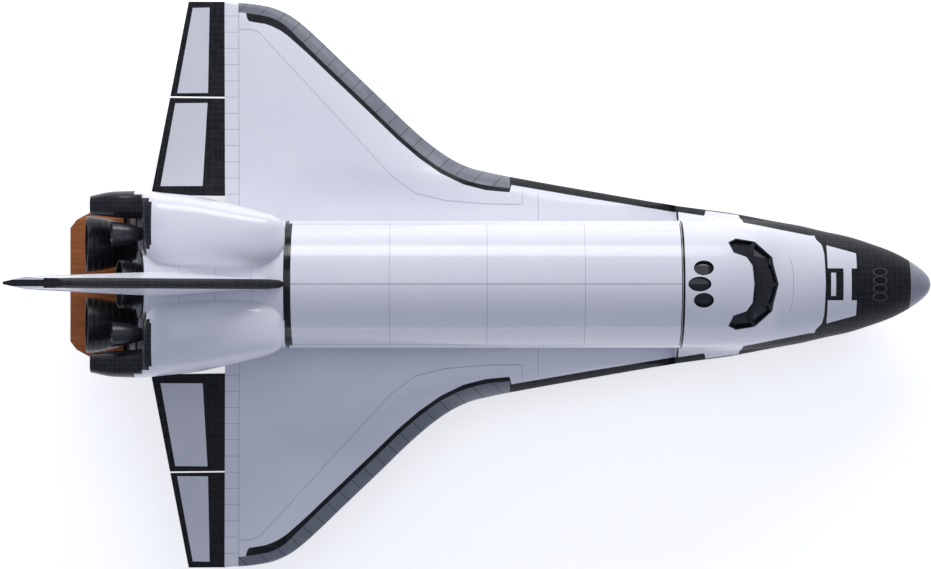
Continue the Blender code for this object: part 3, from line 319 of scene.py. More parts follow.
def outward(edge, i):
    """Direction away from the wing, square to its edge at one of the edge's points."""
    run = (edge[min(i + 1, len(edge) - 1)] - edge[max(i - 1, 0)]).normalized()
    out = Vector((-run.y, run.x))
    return -out if out.y < 0 else out


def wing_paint():
    """White with the black border along the edge, panel seams and a black underside."""
    paint = Paint("wing_skin")
    edge = [Vector(point) for point in WING_EDGE]
    points = [tuple(point - outward(edge, i) * BORDER[i]) for i, point in enumerate(edge)]
    points[2:3] = [(1.91, 4.19), (1.85, 3.87)]      # the border's step where the carbon begins
    tip = [(x, min(y, 11.33)) for x, y in points if x > -9.6]
    limit = paint.curve(paint.x, tip + [(-9.62, 13.0), (-10.3, 13.0)])
    black = paint.any(paint.above(paint.side, limit), paint.below(normal_up(paint), -0.25))
    seam = paint.curve(paint.x, [(-9.54, 10.73), (-9.01, 10.73), (-8.67, 10.6), (-3.1, 4.56),
                                 (-2.07, 3.83), (-0.87, 3.53), (0.85, 3.38), (2.35, 3.36)])
    slope = paint.all(paint.within(paint.x, -9.5, 2.35), paint.near(paint.side, seam, 0.045))
    strip = paint.all(paint.below(paint.x, -9.53), paint.grid(paint.side, 0.68, 0.03, 0.27))
    inner = paint.all(paint.near(paint.x, 3.05, 0.03), paint.below(paint.side, 3.8))
    outer = paint.all(paint.near(paint.x, 2.38, 0.03), paint.within(paint.side, 3.36, 3.95))
    lines = paint.any(slope, paint.near(paint.x, -9.53, 0.035), strip, inner, outer)
    return two_tone(paint, black, lines, 0.5, (0.28, 0.6), 0.06)


def elevon_paint():
    """Black tiles with a pale grey panel let into the top of each surface."""
    paint = Paint("elevon_skin")
    panels = []
    for front, rear, low, high in (
            ([(3.97, -11.09), (7.67, -10.86)], [(4.1, -12.89), (7.63, -12.24)], 4.16, 7.65),
            ([(8.05, -10.84), (11.65, -10.76)], [(8.05, -12.16), (11.65, -11.48)], 8.07, 11.65)):
        panels.append(paint.all(paint.below(paint.x, paint.curve(paint.side, front)),
                                paint.above(paint.x, paint.curve(paint.side, rear)),
                                paint.within(paint.side, low, high)))
    inset = paint.all(paint.any(*panels), paint.above(normal_up(paint), 0.2))
    grey = paint.mix(paint.noise(0.8), (0.68, 0.69, 0.73), (0.76, 0.77, 0.8))
    colour = paint.mix(inset, black_tiles(paint), grey)
    return paint.finish(colour, paint.mix(inset, 0.6, 0.4), coat=0.04)


def pod_paint():
    """White, with a stepped edge to the black rear end."""
    paint = Paint("pod_skin")
    stepped = paint.math("SNAP", paint.math("ADD", paint.side, 0.02), 0.16)
    limit = paint.curve(stepped, [(0.5, -13.0), (1.3, -12.95), (1.5, -12.72), (3.3, -12.72),
                                  (3.7, -13.55), (4.2, -13.7)])
    belly = paint.all(paint.below(paint.z, 3.4), paint.below(paint.x, -12.0))
    black = paint.any(paint.below(paint.x, limit), belly)
    return two_tone(paint, black, 0.0, 0.2, (0.2, 0.5), 0.4)


def aft_paint():
    """White sides, a black base and belly, and a dark seam behind the doors."""
    paint = Paint("aft_skin")
    lean = paint.math("MULTIPLY", paint.z, BASE_SLOPE)
    base = paint.below(paint.x, paint.math("ADD", lean, -14.39))
    black = paint.any(base, paint.below(paint.z, 0.07))
    front = paint.all(paint.above(paint.x, -7.42), paint.above(paint.z, 3.0))
    lines = paint.any(paint.grid(paint.x, 1.45, 0.02), paint.near(paint.z, 2.0, 0.02))
    colour = paint.mix(black, white_skin(paint, lines), black_tiles(paint, 0.3))
    colour = paint.mix(front, colour, BLACK)
    return paint.finish(colour, paint.mix(black, 0.25, 0.5), coat=0.3)


def mid_paint():
    """White sides, black belly and a pale green-grey lining inside the payload bay."""
    paint = Paint("mid_skin")
    outside = paint.above(paint.side, 2.4)
    lines = paint.any(paint.grid(paint.x, 1.6, 0.02), paint.near(paint.z, 1.9, 0.02))
    lining = paint.mix(paint.noise(1.5), (0.42, 0.46, 0.42), (0.52, 0.55, 0.5))
    colour = paint.mix(outside, lining, white_skin(paint, lines))
    colour = paint.mix(paint.below(paint.z, 0.06), colour, black_tiles(paint))
    return paint.finish(colour, paint.mix(outside, 0.6, 0.3), coat=0.15)


def door_paint():
    """Glossy white with thin seams, and dark ends."""
    paint = Paint("door_skin")
    seams = [paint.near(paint.x, x, 0.03) for x in (-3.1, 0.88, 4.88)]
    edge = paint.all(paint.near(paint.side, 2.475, 0.02), paint.above(paint.z, 3.6))
    lines = paint.any(*seams, paint.near(paint.y, 0.0, 0.04), edge)
    ends = paint.any(paint.below(paint.x, -7.12), paint.above(paint.x, 8.8))
    return paint.finish(paint.mix(ends, white_skin(paint, lines), BLACK), 0.2, coat=0.4)


def fin_paint():
    """White, with black tiles along the leading edge and the tip."""
    paint = Paint("fin_skin")
    ahead = paint.math("ADD", paint.x, paint.math("MULTIPLY", paint.z, 1.0036))
    edge = paint.all(paint.above(ahead, -2.6), paint.below(paint.side, 0.235))
    tip = paint.all(paint.above(paint.z, 13.38), paint.below(paint.side, 0.13))
    seams = paint.any(paint.grid(paint.z, 1.7, 0.02), paint.near(ahead, -5.0, 0.02))
    return two_tone(paint, paint.any(edge, tip), seams, 0.3, (0.25, 0.6), 0.06)


def carbon_paint():
    """Grey carbon panels, with a dark joint every 0.7 m along the swept edge."""
    paint = Paint("carbon_skin")
    joints = paint.grid(paint.math("SUBTRACT", paint.x, paint.side), 1.0, 0.035)
    grey = paint.mix(paint.noise(1.2), (0.155, 0.17, 0.2), (0.23, 0.245, 0.275))
    colour = paint.mix(joints, grey, (0.03, 0.032, 0.036))
    under = paint.math("MULTIPLY", paint.below(normal_up(paint), -0.6), 0.6)
    return paint.finish(paint.mix(under, colour, BLACK), 0.38, coat=0.15)


def flap_paint():
    """Streaked orange-brown, with black tiles at the front and underneath."""
    paint = Paint("flap_skin")
    stretched = paint.vector("MULTIPLY", paint.place, (0.6, 5.0, 1.0))
    streak = paint.noise(1.2, 6.0, stretched)
    orange = paint.mix(streak, (0.17, 0.05, 0.014), (0.62, 0.205, 0.055))
    black = paint.any(paint.above(paint.x, -14.42), paint.below(normal_up(paint), -0.2))
    return paint.finish(paint.mix(black, orange, black_tiles(paint)), 0.55)


def bell_paint(name, low, high):
    """Dark metal with soft patches and a fine grain."""
    paint = Paint(name)
    colour = paint.mix(paint.noise(6.0, 5.0), low, high)
    return paint.finish(colour, 0.32, metallic=0.75, bump=paint.noise(30.0), strength=0.08)


class Shape:
    """Corners and faces of a piece, in the vehicle's axes."""

    def __init__(self, verts, faces):
        self.verts = [Vector(v) for v in verts]
        self.faces = [tuple(f) for f in faces]

    def moved(self, matrix):
        return Shape([matrix @ v for v in self.verts], self.faces)


def together(shapes):
    """All the shapes as one."""
    verts, faces = [], []
    for shape in shapes:
        faces += [tuple(i + len(verts) for i in face) for face in shape.faces]
        verts += shape.verts
    return Shape(verts, faces)


def turns(count):
    """Angles evenly spaced round a circle."""
    return [2 * pi * i / count for i in range(count)]


def loft(rings):
    """Skin a row of rings of equal length, and close both ends."""
    count = len(rings[0])
    verts = [point for ring in rings for point in ring]
    faces = [tuple(reversed(range(count)))]
    for row in range(len(rings) - 1):
        for i in range(count):
            a, b = row * count + i, row * count + (i + 1) % count
            faces.append((a, b, b + count, a + count))
    faces.append(tuple(range((len(rings) - 1) * count, len(rings) * count)))
    return Shape(verts, faces)


def lathe(profile, steps, closed=True):
    """Turn (along, radius) points round +X."""
    verts, rows = [], []
    for along, radius in profile:
        if radius == 0:
            rows.append([len(verts)] * steps)
            verts.append((along, 0, 0))
            continue
        rows.append([len(verts) + i for i in range(steps)])
        verts += [(along, radius * cos(a), radius * sin(a)) for a in turns(steps)]
    faces = []
    pairs = list(zip(rows, rows[1:])) + ([(rows[-1], rows[0])] if closed else [])
    for near, far in pairs:
        for i in range(steps):
            j = (i + 1) % steps
            corners = list(dict.fromkeys((near[i], near[j], far[j], far[i])))
            if len(corners) > 2:
                faces.append(tuple(reversed(corners)))
    return Shape(verts, faces)


def box(low, high):
    low, high = Vector(low), Vector(high)
    ring = [(low.y, low.z), (high.y, low.z), (high.y, high.z), (low.y, high.z)]
    return loft([[(x, y, z) for y, z in ring] for x in (low.x, high.x)])


def prism(outline, low_z, high_z):
    """Upright shape over an outline of (x, y) points."""
    return loft([[(x, y, z) for x, y in outline] for z in (low_z, high_z)])


def aimed(origin, direction, roll=(0, 1, 0)):
    """Matrix that takes +X to a direction at an origin, with +Y as near to roll as it can be."""
    along = Vector(direction).normalized()
    across = Vector(roll)
    across = (across - along * across.dot(along)).normalized()
    up = along.cross(across)
    matrix = Matrix((along, across, up)).transposed().to_4x4()
    matrix.translation = Vector(origin)
    return matrix


def rod(start, end, radius, steps, end_radius=None):
    """Round bar, or a cone if the end has a radius of its own."""
    start, end = Vector(start), Vector(end)
    far_radius = radius if end_radius is None else end_radius
    length = (end - start).length
    shape = lathe([(0, 0), (0, radius), (length, far_radius), (length, 0)], steps)
    roll = (0, 1, 0) if abs((end - start).normalized().y) < 0.9 else (1, 0, 0)
    return shape.moved(aimed(start, end - start, roll))


def tube(points, radius, closed=False):
    """Round bar along a smooth path."""
    path = [Vector(p) for p in points]
    rings = []
    count = len(path)
    for i, point in enumerate(path):
        ahead = path[(i + 1) % count] if closed or i + 1 < count else point
        behind = path[i - 1] if closed or i else point
        run = (ahead - behind).normalized()
        across = run.orthogonal().normalized()
        if abs(run.z) < 0.95:
            across = run.cross(Vector((0, 0, 1))).normalized()
        up = across.cross(run)
        rings.append([point + (across * cos(a) + up * sin(a)) * radius
                      for a in turns(8)])
    shape = loft(rings + ([rings[0]] if closed else []))
    if closed:
        shape.faces = shape.faces[1:-1]
    return shape


def ease(t):
    """Smooth step from 0 to 1."""
    t = min(max(t, 0.0), 1.0)
    return t * t * (3 - 2 * t)


def curved(points, parts, closed=False):
    """Smooth line through points, each step cut into parts."""
    points = [Vector(p) for p in points]
    count = len(points)
    result = []
    for i in range(count if closed else count - 1):
        a, b = points[i], points[(i + 1) % count]
        before = points[i - 1] if closed or i else a * 2 - b
        after = points[(i + 2) % count] if closed or i + 2 < count else b * 2 - a
        for k in range(parts):
            t = k / parts
            result.append(0.5 * ((2 * a) + (b - before) * t
                                 + (2 * before - 5 * a + 4 * b - after) * t * t
                                 + (3 * a - before - 3 * b + after) * t ** 3))
    if not closed:
        result.append(points[-1])
    return result


def smooth_rows(rows, parts):
    """A table with more rows, on smooth curves that never pass their neighbours."""
    result = []
    for i, (near, far) in enumerate(zip(rows, rows[1:])):
        for t in (k / parts for k in range(parts)):
            smooth = [hermite(rows, i, column, t) for column in range(1, len(near))]
            result.append(blend(near[:1], far[:1], t) + tuple(smooth))
    return result + [rows[-1]]


def hermite(rows, i, column, t):
    """Monotone cubic between row i and the next one."""
    def slope(k):
        return (rows[k + 1][column] - rows[k][column]) / (rows[k + 1][0] - rows[k][0])

    def tangent(k):
        if k == 0:
            return slope(0)
        if k == len(rows) - 1:
            return slope(k - 1)
        left, right = slope(k - 1), slope(k)
        return 0.0 if left * right <= 0 else 2 * left * right / (left + right)

    step = rows[i + 1][0] - rows[i][0]
    a, b = rows[i][column], rows[i + 1][column]
    return (a * (1 + 2 * t) * (1 - t) ** 2 + tangent(i) * step * t * (1 - t) ** 2
            + b * t * t * (3 - 2 * t) + tangent(i + 1) * step * t * t * (t - 1))


def blend(near, far, share):
    """Point or row between two others."""
    return tuple(a + (b - a) * share for a, b in zip(near, far))


def table_row(rows, x):
    """Straight-line reading of a table whose first value falls from row to row."""
    if x >= rows[0][0]:
        return (x, *rows[0][1:])
    for near, far in zip(rows, rows[1:]):
        if x >= far[0]:
            share = (near[0] - x) / (near[0] - far[0])
            return (x, *blend(near[1:], far[1:], share))
    return (x, *rows[-1][1:])


def placed(name, data):
    """A new object in the scene."""
    thing = bpy.data.objects.new(name, data)
    bpy.context.collection.objects.link(thing)
    return thing


def make_object(name, shape):
    """Closed mesh in the frame's axes, with its faces turned to point out."""
    mesh = bpy.data.meshes.new(name)
    moved = shape.moved(TO_FRAME)
    mesh.from_pydata(moved.verts, [], moved.faces)
    work = bmesh.new()
    work.from_mesh(mesh)
    bmesh.ops.remove_doubles(work, verts=work.verts, dist=0.0001)
    bmesh.ops.recalc_face_normals(work, faces=work.faces)
    work.to_mesh(mesh)
    work.free()
    return placed(name, mesh)


def carve(thing, cut, keep):
    """Apply Boolean cuts and keeps, and drop the cutters."""
    helpers = []
    for operation, shapes in (("DIFFERENCE", cut), ("INTERSECT", keep)):
        for shape in shapes:
            helper = make_object("cutter", shape)
            modifier = thing.modifiers.new("cut", "BOOLEAN")
            modifier.solver = "EXACT"
            modifier.operation = operation
            modifier.object = helper
            helpers.append(helper)
    graph = bpy.context.evaluated_depsgraph_get()
    graph.update()
    result = bpy.data.meshes.new_from_object(thing.evaluated_get(graph))
    thing.modifiers.clear()
    thing.data = result
    for helper in helpers:
        bpy.data.objects.remove(helper, do_unlink=True)


def shaped(name, shape, material, sharp, cut=(), keep=()):
    """A mesh object cut to shape, smooth shaded and painted."""
    thing = make_object(name, shape)
    if cut or keep:
        carve(thing, cut, keep)
    thing.data.materials.clear()
    thing.data.materials.append(material)
    thing.data.polygons.foreach_set("use_smooth", [True] * len(thing.data.polygons))
    thing.data.set_sharp_from_angle(angle=radians(sharp))
    return thing


def settle(thing, body, stands_for):
    """Let a piece ride on its body, in the place of its solids."""
    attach(thing, body)
    if stands_for:
        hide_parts(*stands_for.split())


def piece(name, shape, material, body="airframe", stands_for="", sharp=35, cut=()):
    """A piece of its own. A space parts the names of the solids that it stands for."""
    settle(shaped(name, shape, material, sharp, cut), body, stands_for)


def both_sides(stem, shape, material, body, stands_for, sharp=35, cut=(), keep=()):
    """A piece on the port side and its mirror image to starboard. A * stands for the side."""
    port = shaped(f"{stem}_left", shape, material, sharp, cut, keep)
    mesh = port.data.copy()
    mesh.transform(Matrix.Diagonal((1, -1, 1, 1)))
    mesh.flip_normals()
    for side, thing in zip(SIDES, (port, placed(f"{stem}_right", mesh))):
        settle(thing, body.replace("*", side), stands_for.replace("*", side))


# Fuselage sizes, the same as the solid model's
CABIN_REAR, CABIN_FRONT = 8.84, 13.2
BAY_REAR = -7.26
BODY_RADIUS, BODY_CENTRE_Z = 2.64, 2.86
SILL_ANGLE = radians(18)
NOSE_CAP_REAR = 18.55
FLARE_START = 14.2
SKIN = 0.12
CABIN_HALF_WIDTH = 2.5              # keeps the hollow clear of the flare's crease
SEAM = 0.006                        # gap left at a visible seam
SEAT = 0.0003                       # gap between pieces that touch

FORWARD_ROWS = [
    # x, belly z, crown z, half breadth
    (19.5, 1.4, 1.44, 0.02), (19.42, 1.18, 1.66, 0.29), (19.28, 1.05, 1.8, 0.48),
    (19.05, 0.9, 1.98, 0.69), (18.55, 0.66, 2.28, 1.03), (17.85, 0.43, 2.6, 1.39),
    (17.0, 0.27, 2.92, 1.7), (16.0, 0.14, 3.25, 2.01), (15.0, 0.06, 3.55, 2.22),
    (14.0, 0.02, 3.82, 2.45), (13.2, 0.01, 4.02, 2.6), (12.88, 0.0, 4.12, 2.66),
    (12.4, 0.0, 4.5, 2.75), (11.8, 0.0, 4.95, 2.87), (11.0, 0.0, 5.25, 3.02),
    (9.9, 0.0, 5.43, 3.18), (8.84, 0.0, 5.5, 3.33),
]
FINE_FORWARD = smooth_rows(FORWARD_ROWS, 5)
WINDOW_OUTLINES = [
    # x, y in metres, seen from above, port side
    [(10.82, 1.7), (11.08, 1.82), (11.76, 1.73), (11.46, 1.2), (11.0, 1.32)],
    [(11.88, 1.64), (12.5, 1.13), (12.43, 0.94), (12.06, 0.8), (11.62, 1.16)],
    [(12.47, 0.82), (12.55, 0.76), (12.76, 0.07), (12.24, 0.11), (12.17, 0.58)],
]
HATCH_X, HATCH_Z, HATCH_RADIUS = 10.8, 2.2, 0.508


def arc(centre_z, breadth, height, low, high, steps):
    """(y, z) points on an oval, between two angles above the horizontal."""
    angles = [low + (high - low) * i / steps for i in range(steps + 1)]
    return [(breadth * cos(a), centre_z + height * sin(a)) for a in angles]


def forward_half(row):
    """Half a section of the forward fuselage, belly to crown, as (y, z) points."""
    x, belly, crown, breadth = row
    middle = belly + 0.44 * (crown - belly)
    plain = []
    for step in range(6):
        angle = radians(18 * step)
        across = breadth * sin(angle) ** 0.85
        plain.append((across, middle - (middle - belly) * cos(angle) ** 0.8))
    plain += arc(middle, breadth, crown - middle, pi / 18, pi / 2, 8)
    flared = [(0, belly), (0.4 * breadth, belly), (0.7 * breadth, belly),
              (breadth - 0.5, 0.02), (breadth - 0.14, 0.24), (breadth, 0.66),
              (breadth - 0.34, 1.02), (2.7, 1.38), (BODY_RADIUS, 2.1),
              (BODY_RADIUS, BODY_CENTRE_Z)]
    flared += arc(BODY_CENTRE_Z, BODY_RADIUS, crown - BODY_CENTRE_Z, SILL_ANGLE, pi / 2, 4)
    flare = ease((FLARE_START - x) / (FLARE_START - CABIN_REAR))
    return [blend(p, f, flare) for p, f in zip(plain, flared)]


def forward_ring(row, inset=0.0):
    """A whole section, smooth or pulled in towards its middle, seen from the front."""
    half = forward_half(row)
    points = [Vector((y, z, 0)) for y, z in half]
    points += [Vector((-p.x, p.y, 0)) for p in reversed(points[1:-1])]
    if not inset:
        return [(row[0], p.x, p.y) for p in curved(points, 3, closed=True)]
    middle = 0.5 * (half[0][1] + half[-1][1])
    ring = []
    for y, z, _ in points:
        share = max(0.02, 1 - inset / hypot(y, z - middle))
        across = max(-CABIN_HALF_WIDTH, min(CABIN_HALF_WIDTH, y * share))
        ring.append((row[0], across, middle + (z - middle) * share))
    return ring


def forward_form(low_x, high_x, inset=0.0):
    rows = FORWARD_ROWS if inset else FINE_FORWARD
    inner = [row for row in reversed(rows) if low_x + 0.01 < row[0] < high_x - 0.01]
    ends = table_row(rows, low_x), table_row(rows, high_x)
    return loft([forward_ring(row, inset) for row in [ends[0], *inner, ends[1]]])


def window_prisms():
    """Cutters for the windows on both sides and in the roof."""
    shapes = [prism([(x, y * side) for x, y in outline], 3.0, 6.0)
              for outline in WINDOW_OUTLINES for side in SIDES.values()]
    for x, y, half_length, half_width in ROOF_WINDOWS:
        outline = [(x + half_length * cos(a), y + half_width * sin(a)) for a in turns(32)]
        shapes.append(prism(outline, 4.0, 6.5))
    return shapes


def dress_forward():
    """One smooth shell for the cabin and the nose, with windows, gear well and hatch opening."""
    skin = forward_paint()
    assign("side_hatch", skin)
    hatch = rod((HATCH_X, 2.0, HATCH_Z), (HATCH_X, 3.8, HATCH_Z), HATCH_RADIUS + 0.007, 48)
    nose_well = box((13.9, -0.6, -0.5), (16.3, 0.6, 1.25))
    cabin = forward_form(CABIN_REAR - 1, CABIN_FRONT, SKIN)
    solids = "upper_forward_fuselage lower_forward_fuselage nose_thruster_module"
    piece("forward_shell", forward_form(CABIN_REAR, NOSE_CAP_REAR), skin, stands_for=solids,
          sharp=30, cut=[cabin, nose_well, hatch] + window_prisms())
    carbon = plain_paint("nose_carbon_skin", (0.24, 0.25, 0.29), (0.32, 0.33, 0.38), 0.35,
                         coat=0.2, scale=1.5)
    piece("nose_cap_shell", forward_form(NOSE_CAP_REAR + 0.004, 19.5), carbon,
          stands_for="nose_cap", sharp=50)


def dress_doors():
    """Each payload door as one smooth curved skin."""
    ends = BAY_REAR + SEAM, CABIN_REAR - SEAM
    low, high = SILL_ANGLE + SEAT / BODY_RADIUS, pi / 2 - SEAM / BODY_RADIUS
    outer, inner = [arc(BODY_CENTRE_Z, radius, radius, low, high, 32)
                    for radius in (BODY_RADIUS, BODY_RADIUS - 0.14)]
    shape = loft([[(x, y, z) for y, z in outer + inner[::-1]] for x in ends])
    both_sides("door_shell", shape, door_paint(), "payload_door_*", "payload_bay_door_*")


# Aft fuselage and engines
AFT_ROWS = [
    # x, belly z, crown z, half breadth
    (BAY_REAR, 0.0, 5.5, 2.64), (-8.5, 0.0, 5.51, 2.64), (-10.3, 0.0, 5.68, 2.64),
    (-11.6, 0.02, 5.84, 2.98), (-12.8, 0.04, 5.9, 3.25), (-13.06, 0.05, 5.92, 3.28),
]
BASE_SLOPE = 0.232
CAVITY = [(-2.2, 0.45), (2.2, 0.45), (2.2, 3.2), (1.15, 3.7), (1.1, 4.7),
          (-1.1, 4.7), (-1.15, 3.7), (-2.2, 3.2)]
FLAP_HINGE = Vector((-14.5, 0, 0.3))
FLAP_NOSE = 0.26
GIMBAL_BALL, NOZZLE_BALL = 0.16, 0.1
MAIN_ENGINES = {
    # name: gimbal point, cant in degrees, length to the exit, exit radius, radii of the well's ends
    "upper": (Vector((-11.2, 0, 3.7)), 16.0, 3.1, 1.0, (0.8, 1.9)),
    "left": (Vector((-11.8, 1.68, 1.92)), 10.0, 4.0, 1.15, (0.85, 1.92)),
    "right": (Vector((-11.8, -1.68, 1.92)), 10.0, 4.0, 1.15, (0.85, 1.92)),
}


def aft_half(x, grow):
    """Half a section of the aft fuselage, from the belly to the crown."""
    _, belly, crown, breadth = table_row(AFT_ROWS, x)
    hump = [(0, belly), (breadth, belly), (breadth, 2.9), (breadth - 0.12, 3.4),
            (breadth - 0.6, 3.75), (1.75, 3.92), (1.42, 4.15), (1.4, 4.9),
            (1.15, 5.55), (0.62, crown - 0.06), (0, crown)]
    round_back = hump[:2] + arc(BODY_CENTRE_Z, breadth, crown - BODY_CENTRE_Z, 0, pi / 2, 8)
    share = ease((BAY_REAR - 0.3 - x) / 2.5)
    half = []
    for near, far in zip(round_back, hump):
        y, z = blend(near, far, share)
        half.append((y + (grow if y > 0.01 else 0), z + (grow if z > 1 else -grow)))
    return half


def aft_ring(x, grow, rear=False):
    half = aft_half(x, grow)
    points = half + [(-y, z) for y, z in reversed(half[1:-1])]
    crown = AFT_ROWS[-1][2]
    return [(x - ((crown - z) * BASE_SLOPE if rear else 0), y, z) for y, z in points]


def aft_form(front, grow=0.0, low_x=None):
    """The aft fuselage's outer form. Its base leans aft, unless it ends square at low_x."""
    stations = [row[0] for row in smooth_rows(AFT_ROWS, 4) if row[0] < front]
    if low_x is None:
        stations.pop()
    end = AFT_ROWS[-1][0] if low_x is None else low_x
    rings = [aft_ring(x, grow) for x in [front] + stations]
    return loft(rings + [aft_ring(end, grow, rear=low_x is None)])


def engine_direction(cant):
    angle = radians(cant)
    return Vector((-cos(angle), 0, sin(angle)))


def dress_aft():
    """The aft fuselage with its equipment bay, engine wells, flap cove and umbilical recesses."""
    hollow = loft([[(x, y, z) for y, z in CAVITY] for x in (-10.05, BAY_REAR + 0.5)])
    reach = Vector((0, 3.6, 0))
    cuts = [hollow, rod(FLAP_HINGE - reach, FLAP_HINGE + reach, FLAP_NOSE + 0.01, 64)]
    for gimbal, cant, length, _, (near, far) in MAIN_ENGINES.values():
        direction = engine_direction(cant)
        start = gimbal - direction * (GIMBAL_BALL + SEAT)
        cuts.append(rod(start, gimbal + direction * (length + 1), near, 64, far))
    for side in SIDES.values():
        cuts.append(box((-9.3, 1.25 * side, -0.2), (-8.15, 2.38 * side, 0.06)))
        cuts.append(box((-9.2, 1.35 * side, -0.1), (-8.25, 2.28 * side, 0.3)))
    piece("aft_shell", aft_form(BAY_REAR), aft_paint(), stands_for="aft_fuselage",
          sharp=28, cut=cuts)


def hoop(along, radius, thick, steps=72):
    """Ring round +X."""
    circle = [(along, radius * cos(a), radius * sin(a)) for a in turns(steps)]
    return tube(circle, thick, closed=True)


def engine_shape(length, exit_radius):
    """Gimbal, powerhead, open bell with its stiffening hoops, and pipes round the powerhead."""
    throat_x, throat, wall = 1.25, 0.28, 0.06

    def radius_at(share):
        return throat + (exit_radius - throat) * (1 - (1 - share) ** 1.75)

    steps = 28
    outer = [(throat_x + (length - throat_x) * i / steps, radius_at(i / steps))
             for i in range(steps + 1)]
    inner = [(along, radius - wall) for along, radius in outer]
    ball = [(-GIMBAL_BALL * cos(a), GIMBAL_BALL * sin(a)) for a in (0.4, 0.8, 1.2, 1.57)]
    head = [(-GIMBAL_BALL, 0)] + ball + [(0.2, 0.14), (0.26, 0.4), (0.42, 0.58), (0.5, 0.6),
                                         (0.84, 0.6), (0.92, 0.56), (1.05, 0.36), (1.15, 0.29)]
    shapes = [lathe(head + outer + inner[::-1] + [(throat_x, 0)], 72, closed=False)]
    for share in (0.12, 0.22, 0.32, 0.42, 0.52, 0.62, 0.72, 0.82, 0.91):
        along = throat_x + (length - throat_x) * share
        shapes.append(hoop(along, radius_at(share) + 0.008, 0.022))
    shapes.append(hoop(length - 0.03, exit_radius - 0.045, 0.035))
    for along in (0.46, 0.67, 0.88):
        shapes.append(hoop(along, 0.575, 0.04, 48))
    for turn in turns(8):
        across = Vector((0, cos(turn), sin(turn)))
        path = [Vector((along, 0, 0)) + across * height
                for along, height in ((0.34, 0.46), (0.6, 0.58), (0.98, 0.5), (1.25, 0.33))]
        shapes.append(tube(curved(path, 6), 0.045))
    return together(shapes)


def dress_engines():
    metal = bell_paint("bell_skin", (0.012, 0.012, 0.014), (0.05, 0.05, 0.055))
    for name, (gimbal, cant, length, exit_radius, _) in MAIN_ENGINES.items():
        shape = engine_shape(length, exit_radius).moved(aimed(gimbal, engine_direction(cant)))
        piece(f"engine_bell_{name}", shape, metal, f"engine_{name}", f"main_engine_{name}",
              sharp=40)


POD_ROWS = [
    # x, inner y, outer y, bottom z, top z
    (-7.38, 1.5, 2.36, 4.9, 5.1), (-7.62, 1.1, 2.68, 4.5, 5.5),
    (-8.1, 0.78, 2.9, 4.1, 5.8), (-8.9, 0.56, 3.12, 3.6, 6.05),
    (-10.0, 0.52, 3.38, 3.25, 6.22), (-11.2, 0.52, 3.62, 3.05, 6.28),
    (-12.3, 0.56, 3.73, 3.0, 6.2), (-12.85, 0.8, 3.8, 3.0, 6.02),
    (-13.1, 1.2, 3.82, 3.05, 5.8), (-13.16, 2.64, 3.83, 3.3, 5.35),
    (-14.4, 2.74, 3.8, 3.6, 5.1), (-15.35, 2.84, 3.62, 3.85, 4.85),
]
NOZZLE_PIVOT = Vector((-12.78, 2.05, 4.75))
NOZZLE_CANT = 12.0


def pod_ring(x, low_y, high_y, low_z, high_z):
    """Rounded box section, seen along X."""
    points = []
    for angle in turns(48):
        c, s = cos(angle), sin(angle)
        across = copysign(abs(c) ** 0.75, c)
        up = copysign(abs(s) ** 0.75, s)
        points.append((x, 0.5 * (low_y + high_y) + 0.5 * (high_y - low_y) * across,
                       0.5 * (low_z + high_z) + 0.5 * (high_z - low_z) * up))
    return points


def nozzle_shape():
    """Small open nozzle with stiffening hoops."""
    head = [(-0.1, 0), (-0.07, 0.07), (0.0, 0.1), (0.2, 0.12)]
    outer = [(0.5, 0.27), (0.62, 0.31), (0.8, 0.365), (1.0, 0.42), (1.34, 0.475), (1.68, 0.5)]
    inner = [(along, radius - 0.03) for along, radius in reversed(outer)]
    bell = lathe(head + outer + inner + [(0.25, 0)], 64, closed=False)
    return together([bell, hoop(1.66, 0.485, 0.014, 56), hoop(1.2, 0.45, 0.012, 56)])


def dress_pods():
    """The two manoeuvring pods on the aft shoulders, with their nozzles."""
    metal = bell_paint("nozzle_skin", (0.045, 0.046, 0.05), (0.09, 0.09, 0.1))
    direction = engine_direction(NOZZLE_CANT)
    grown = aft_form(BAY_REAR + 1, 0.0006, -16.5)
    start = NOZZLE_PIVOT - direction * (NOZZLE_BALL + SEAT)
    socket = rod(start, NOZZLE_PIVOT + direction * 2, 0.4, 48)
    pod = loft([pod_ring(*row) for row in smooth_rows(POD_ROWS, 4)])
    both_sides("pod_shell", pod, pod_paint(), "airframe", "manoeuvring_pod_*", 40,
               cut=[grown, socket])
    nozzle = nozzle_shape().moved(aimed(NOZZLE_PIVOT, direction))
    both_sides("nozzle_shell", nozzle, metal, "pod_nozzle_*", "pod_nozzle_*", 50)


# Wings: the edge as (y, x) rows, and sizes the same as the solid model's
FINE_EDGE = smooth_rows([(y, x) for x, y in WING_EDGE], 4)
HINGE_ROOT = Vector((-10.28, 3.75, 0.5))
HINGE_TIP = Vector((-10.2, 11.92, 0.98))
CARBON_WIDTH = 0.58
CARBON_ENDS = (1.87, -9.55)
DIHEDRAL = tan(radians(3.5))
WING_ROOT_Y, WING_TIP_Y = BODY_RADIUS + SEAT, 11.89
MAIN_WELL = (-4.95, 2.72, -1), (-1.95, 4.25, 1.02)


def hinge_at(y):
    """Point on the elevons' hinge line, and the radius of their nose there."""
    share = (y - HINGE_ROOT.y) / (HINGE_TIP.y - HINGE_ROOT.y)
    return HINGE_ROOT.lerp(HINGE_TIP, share), 0.25 - 0.12 * share


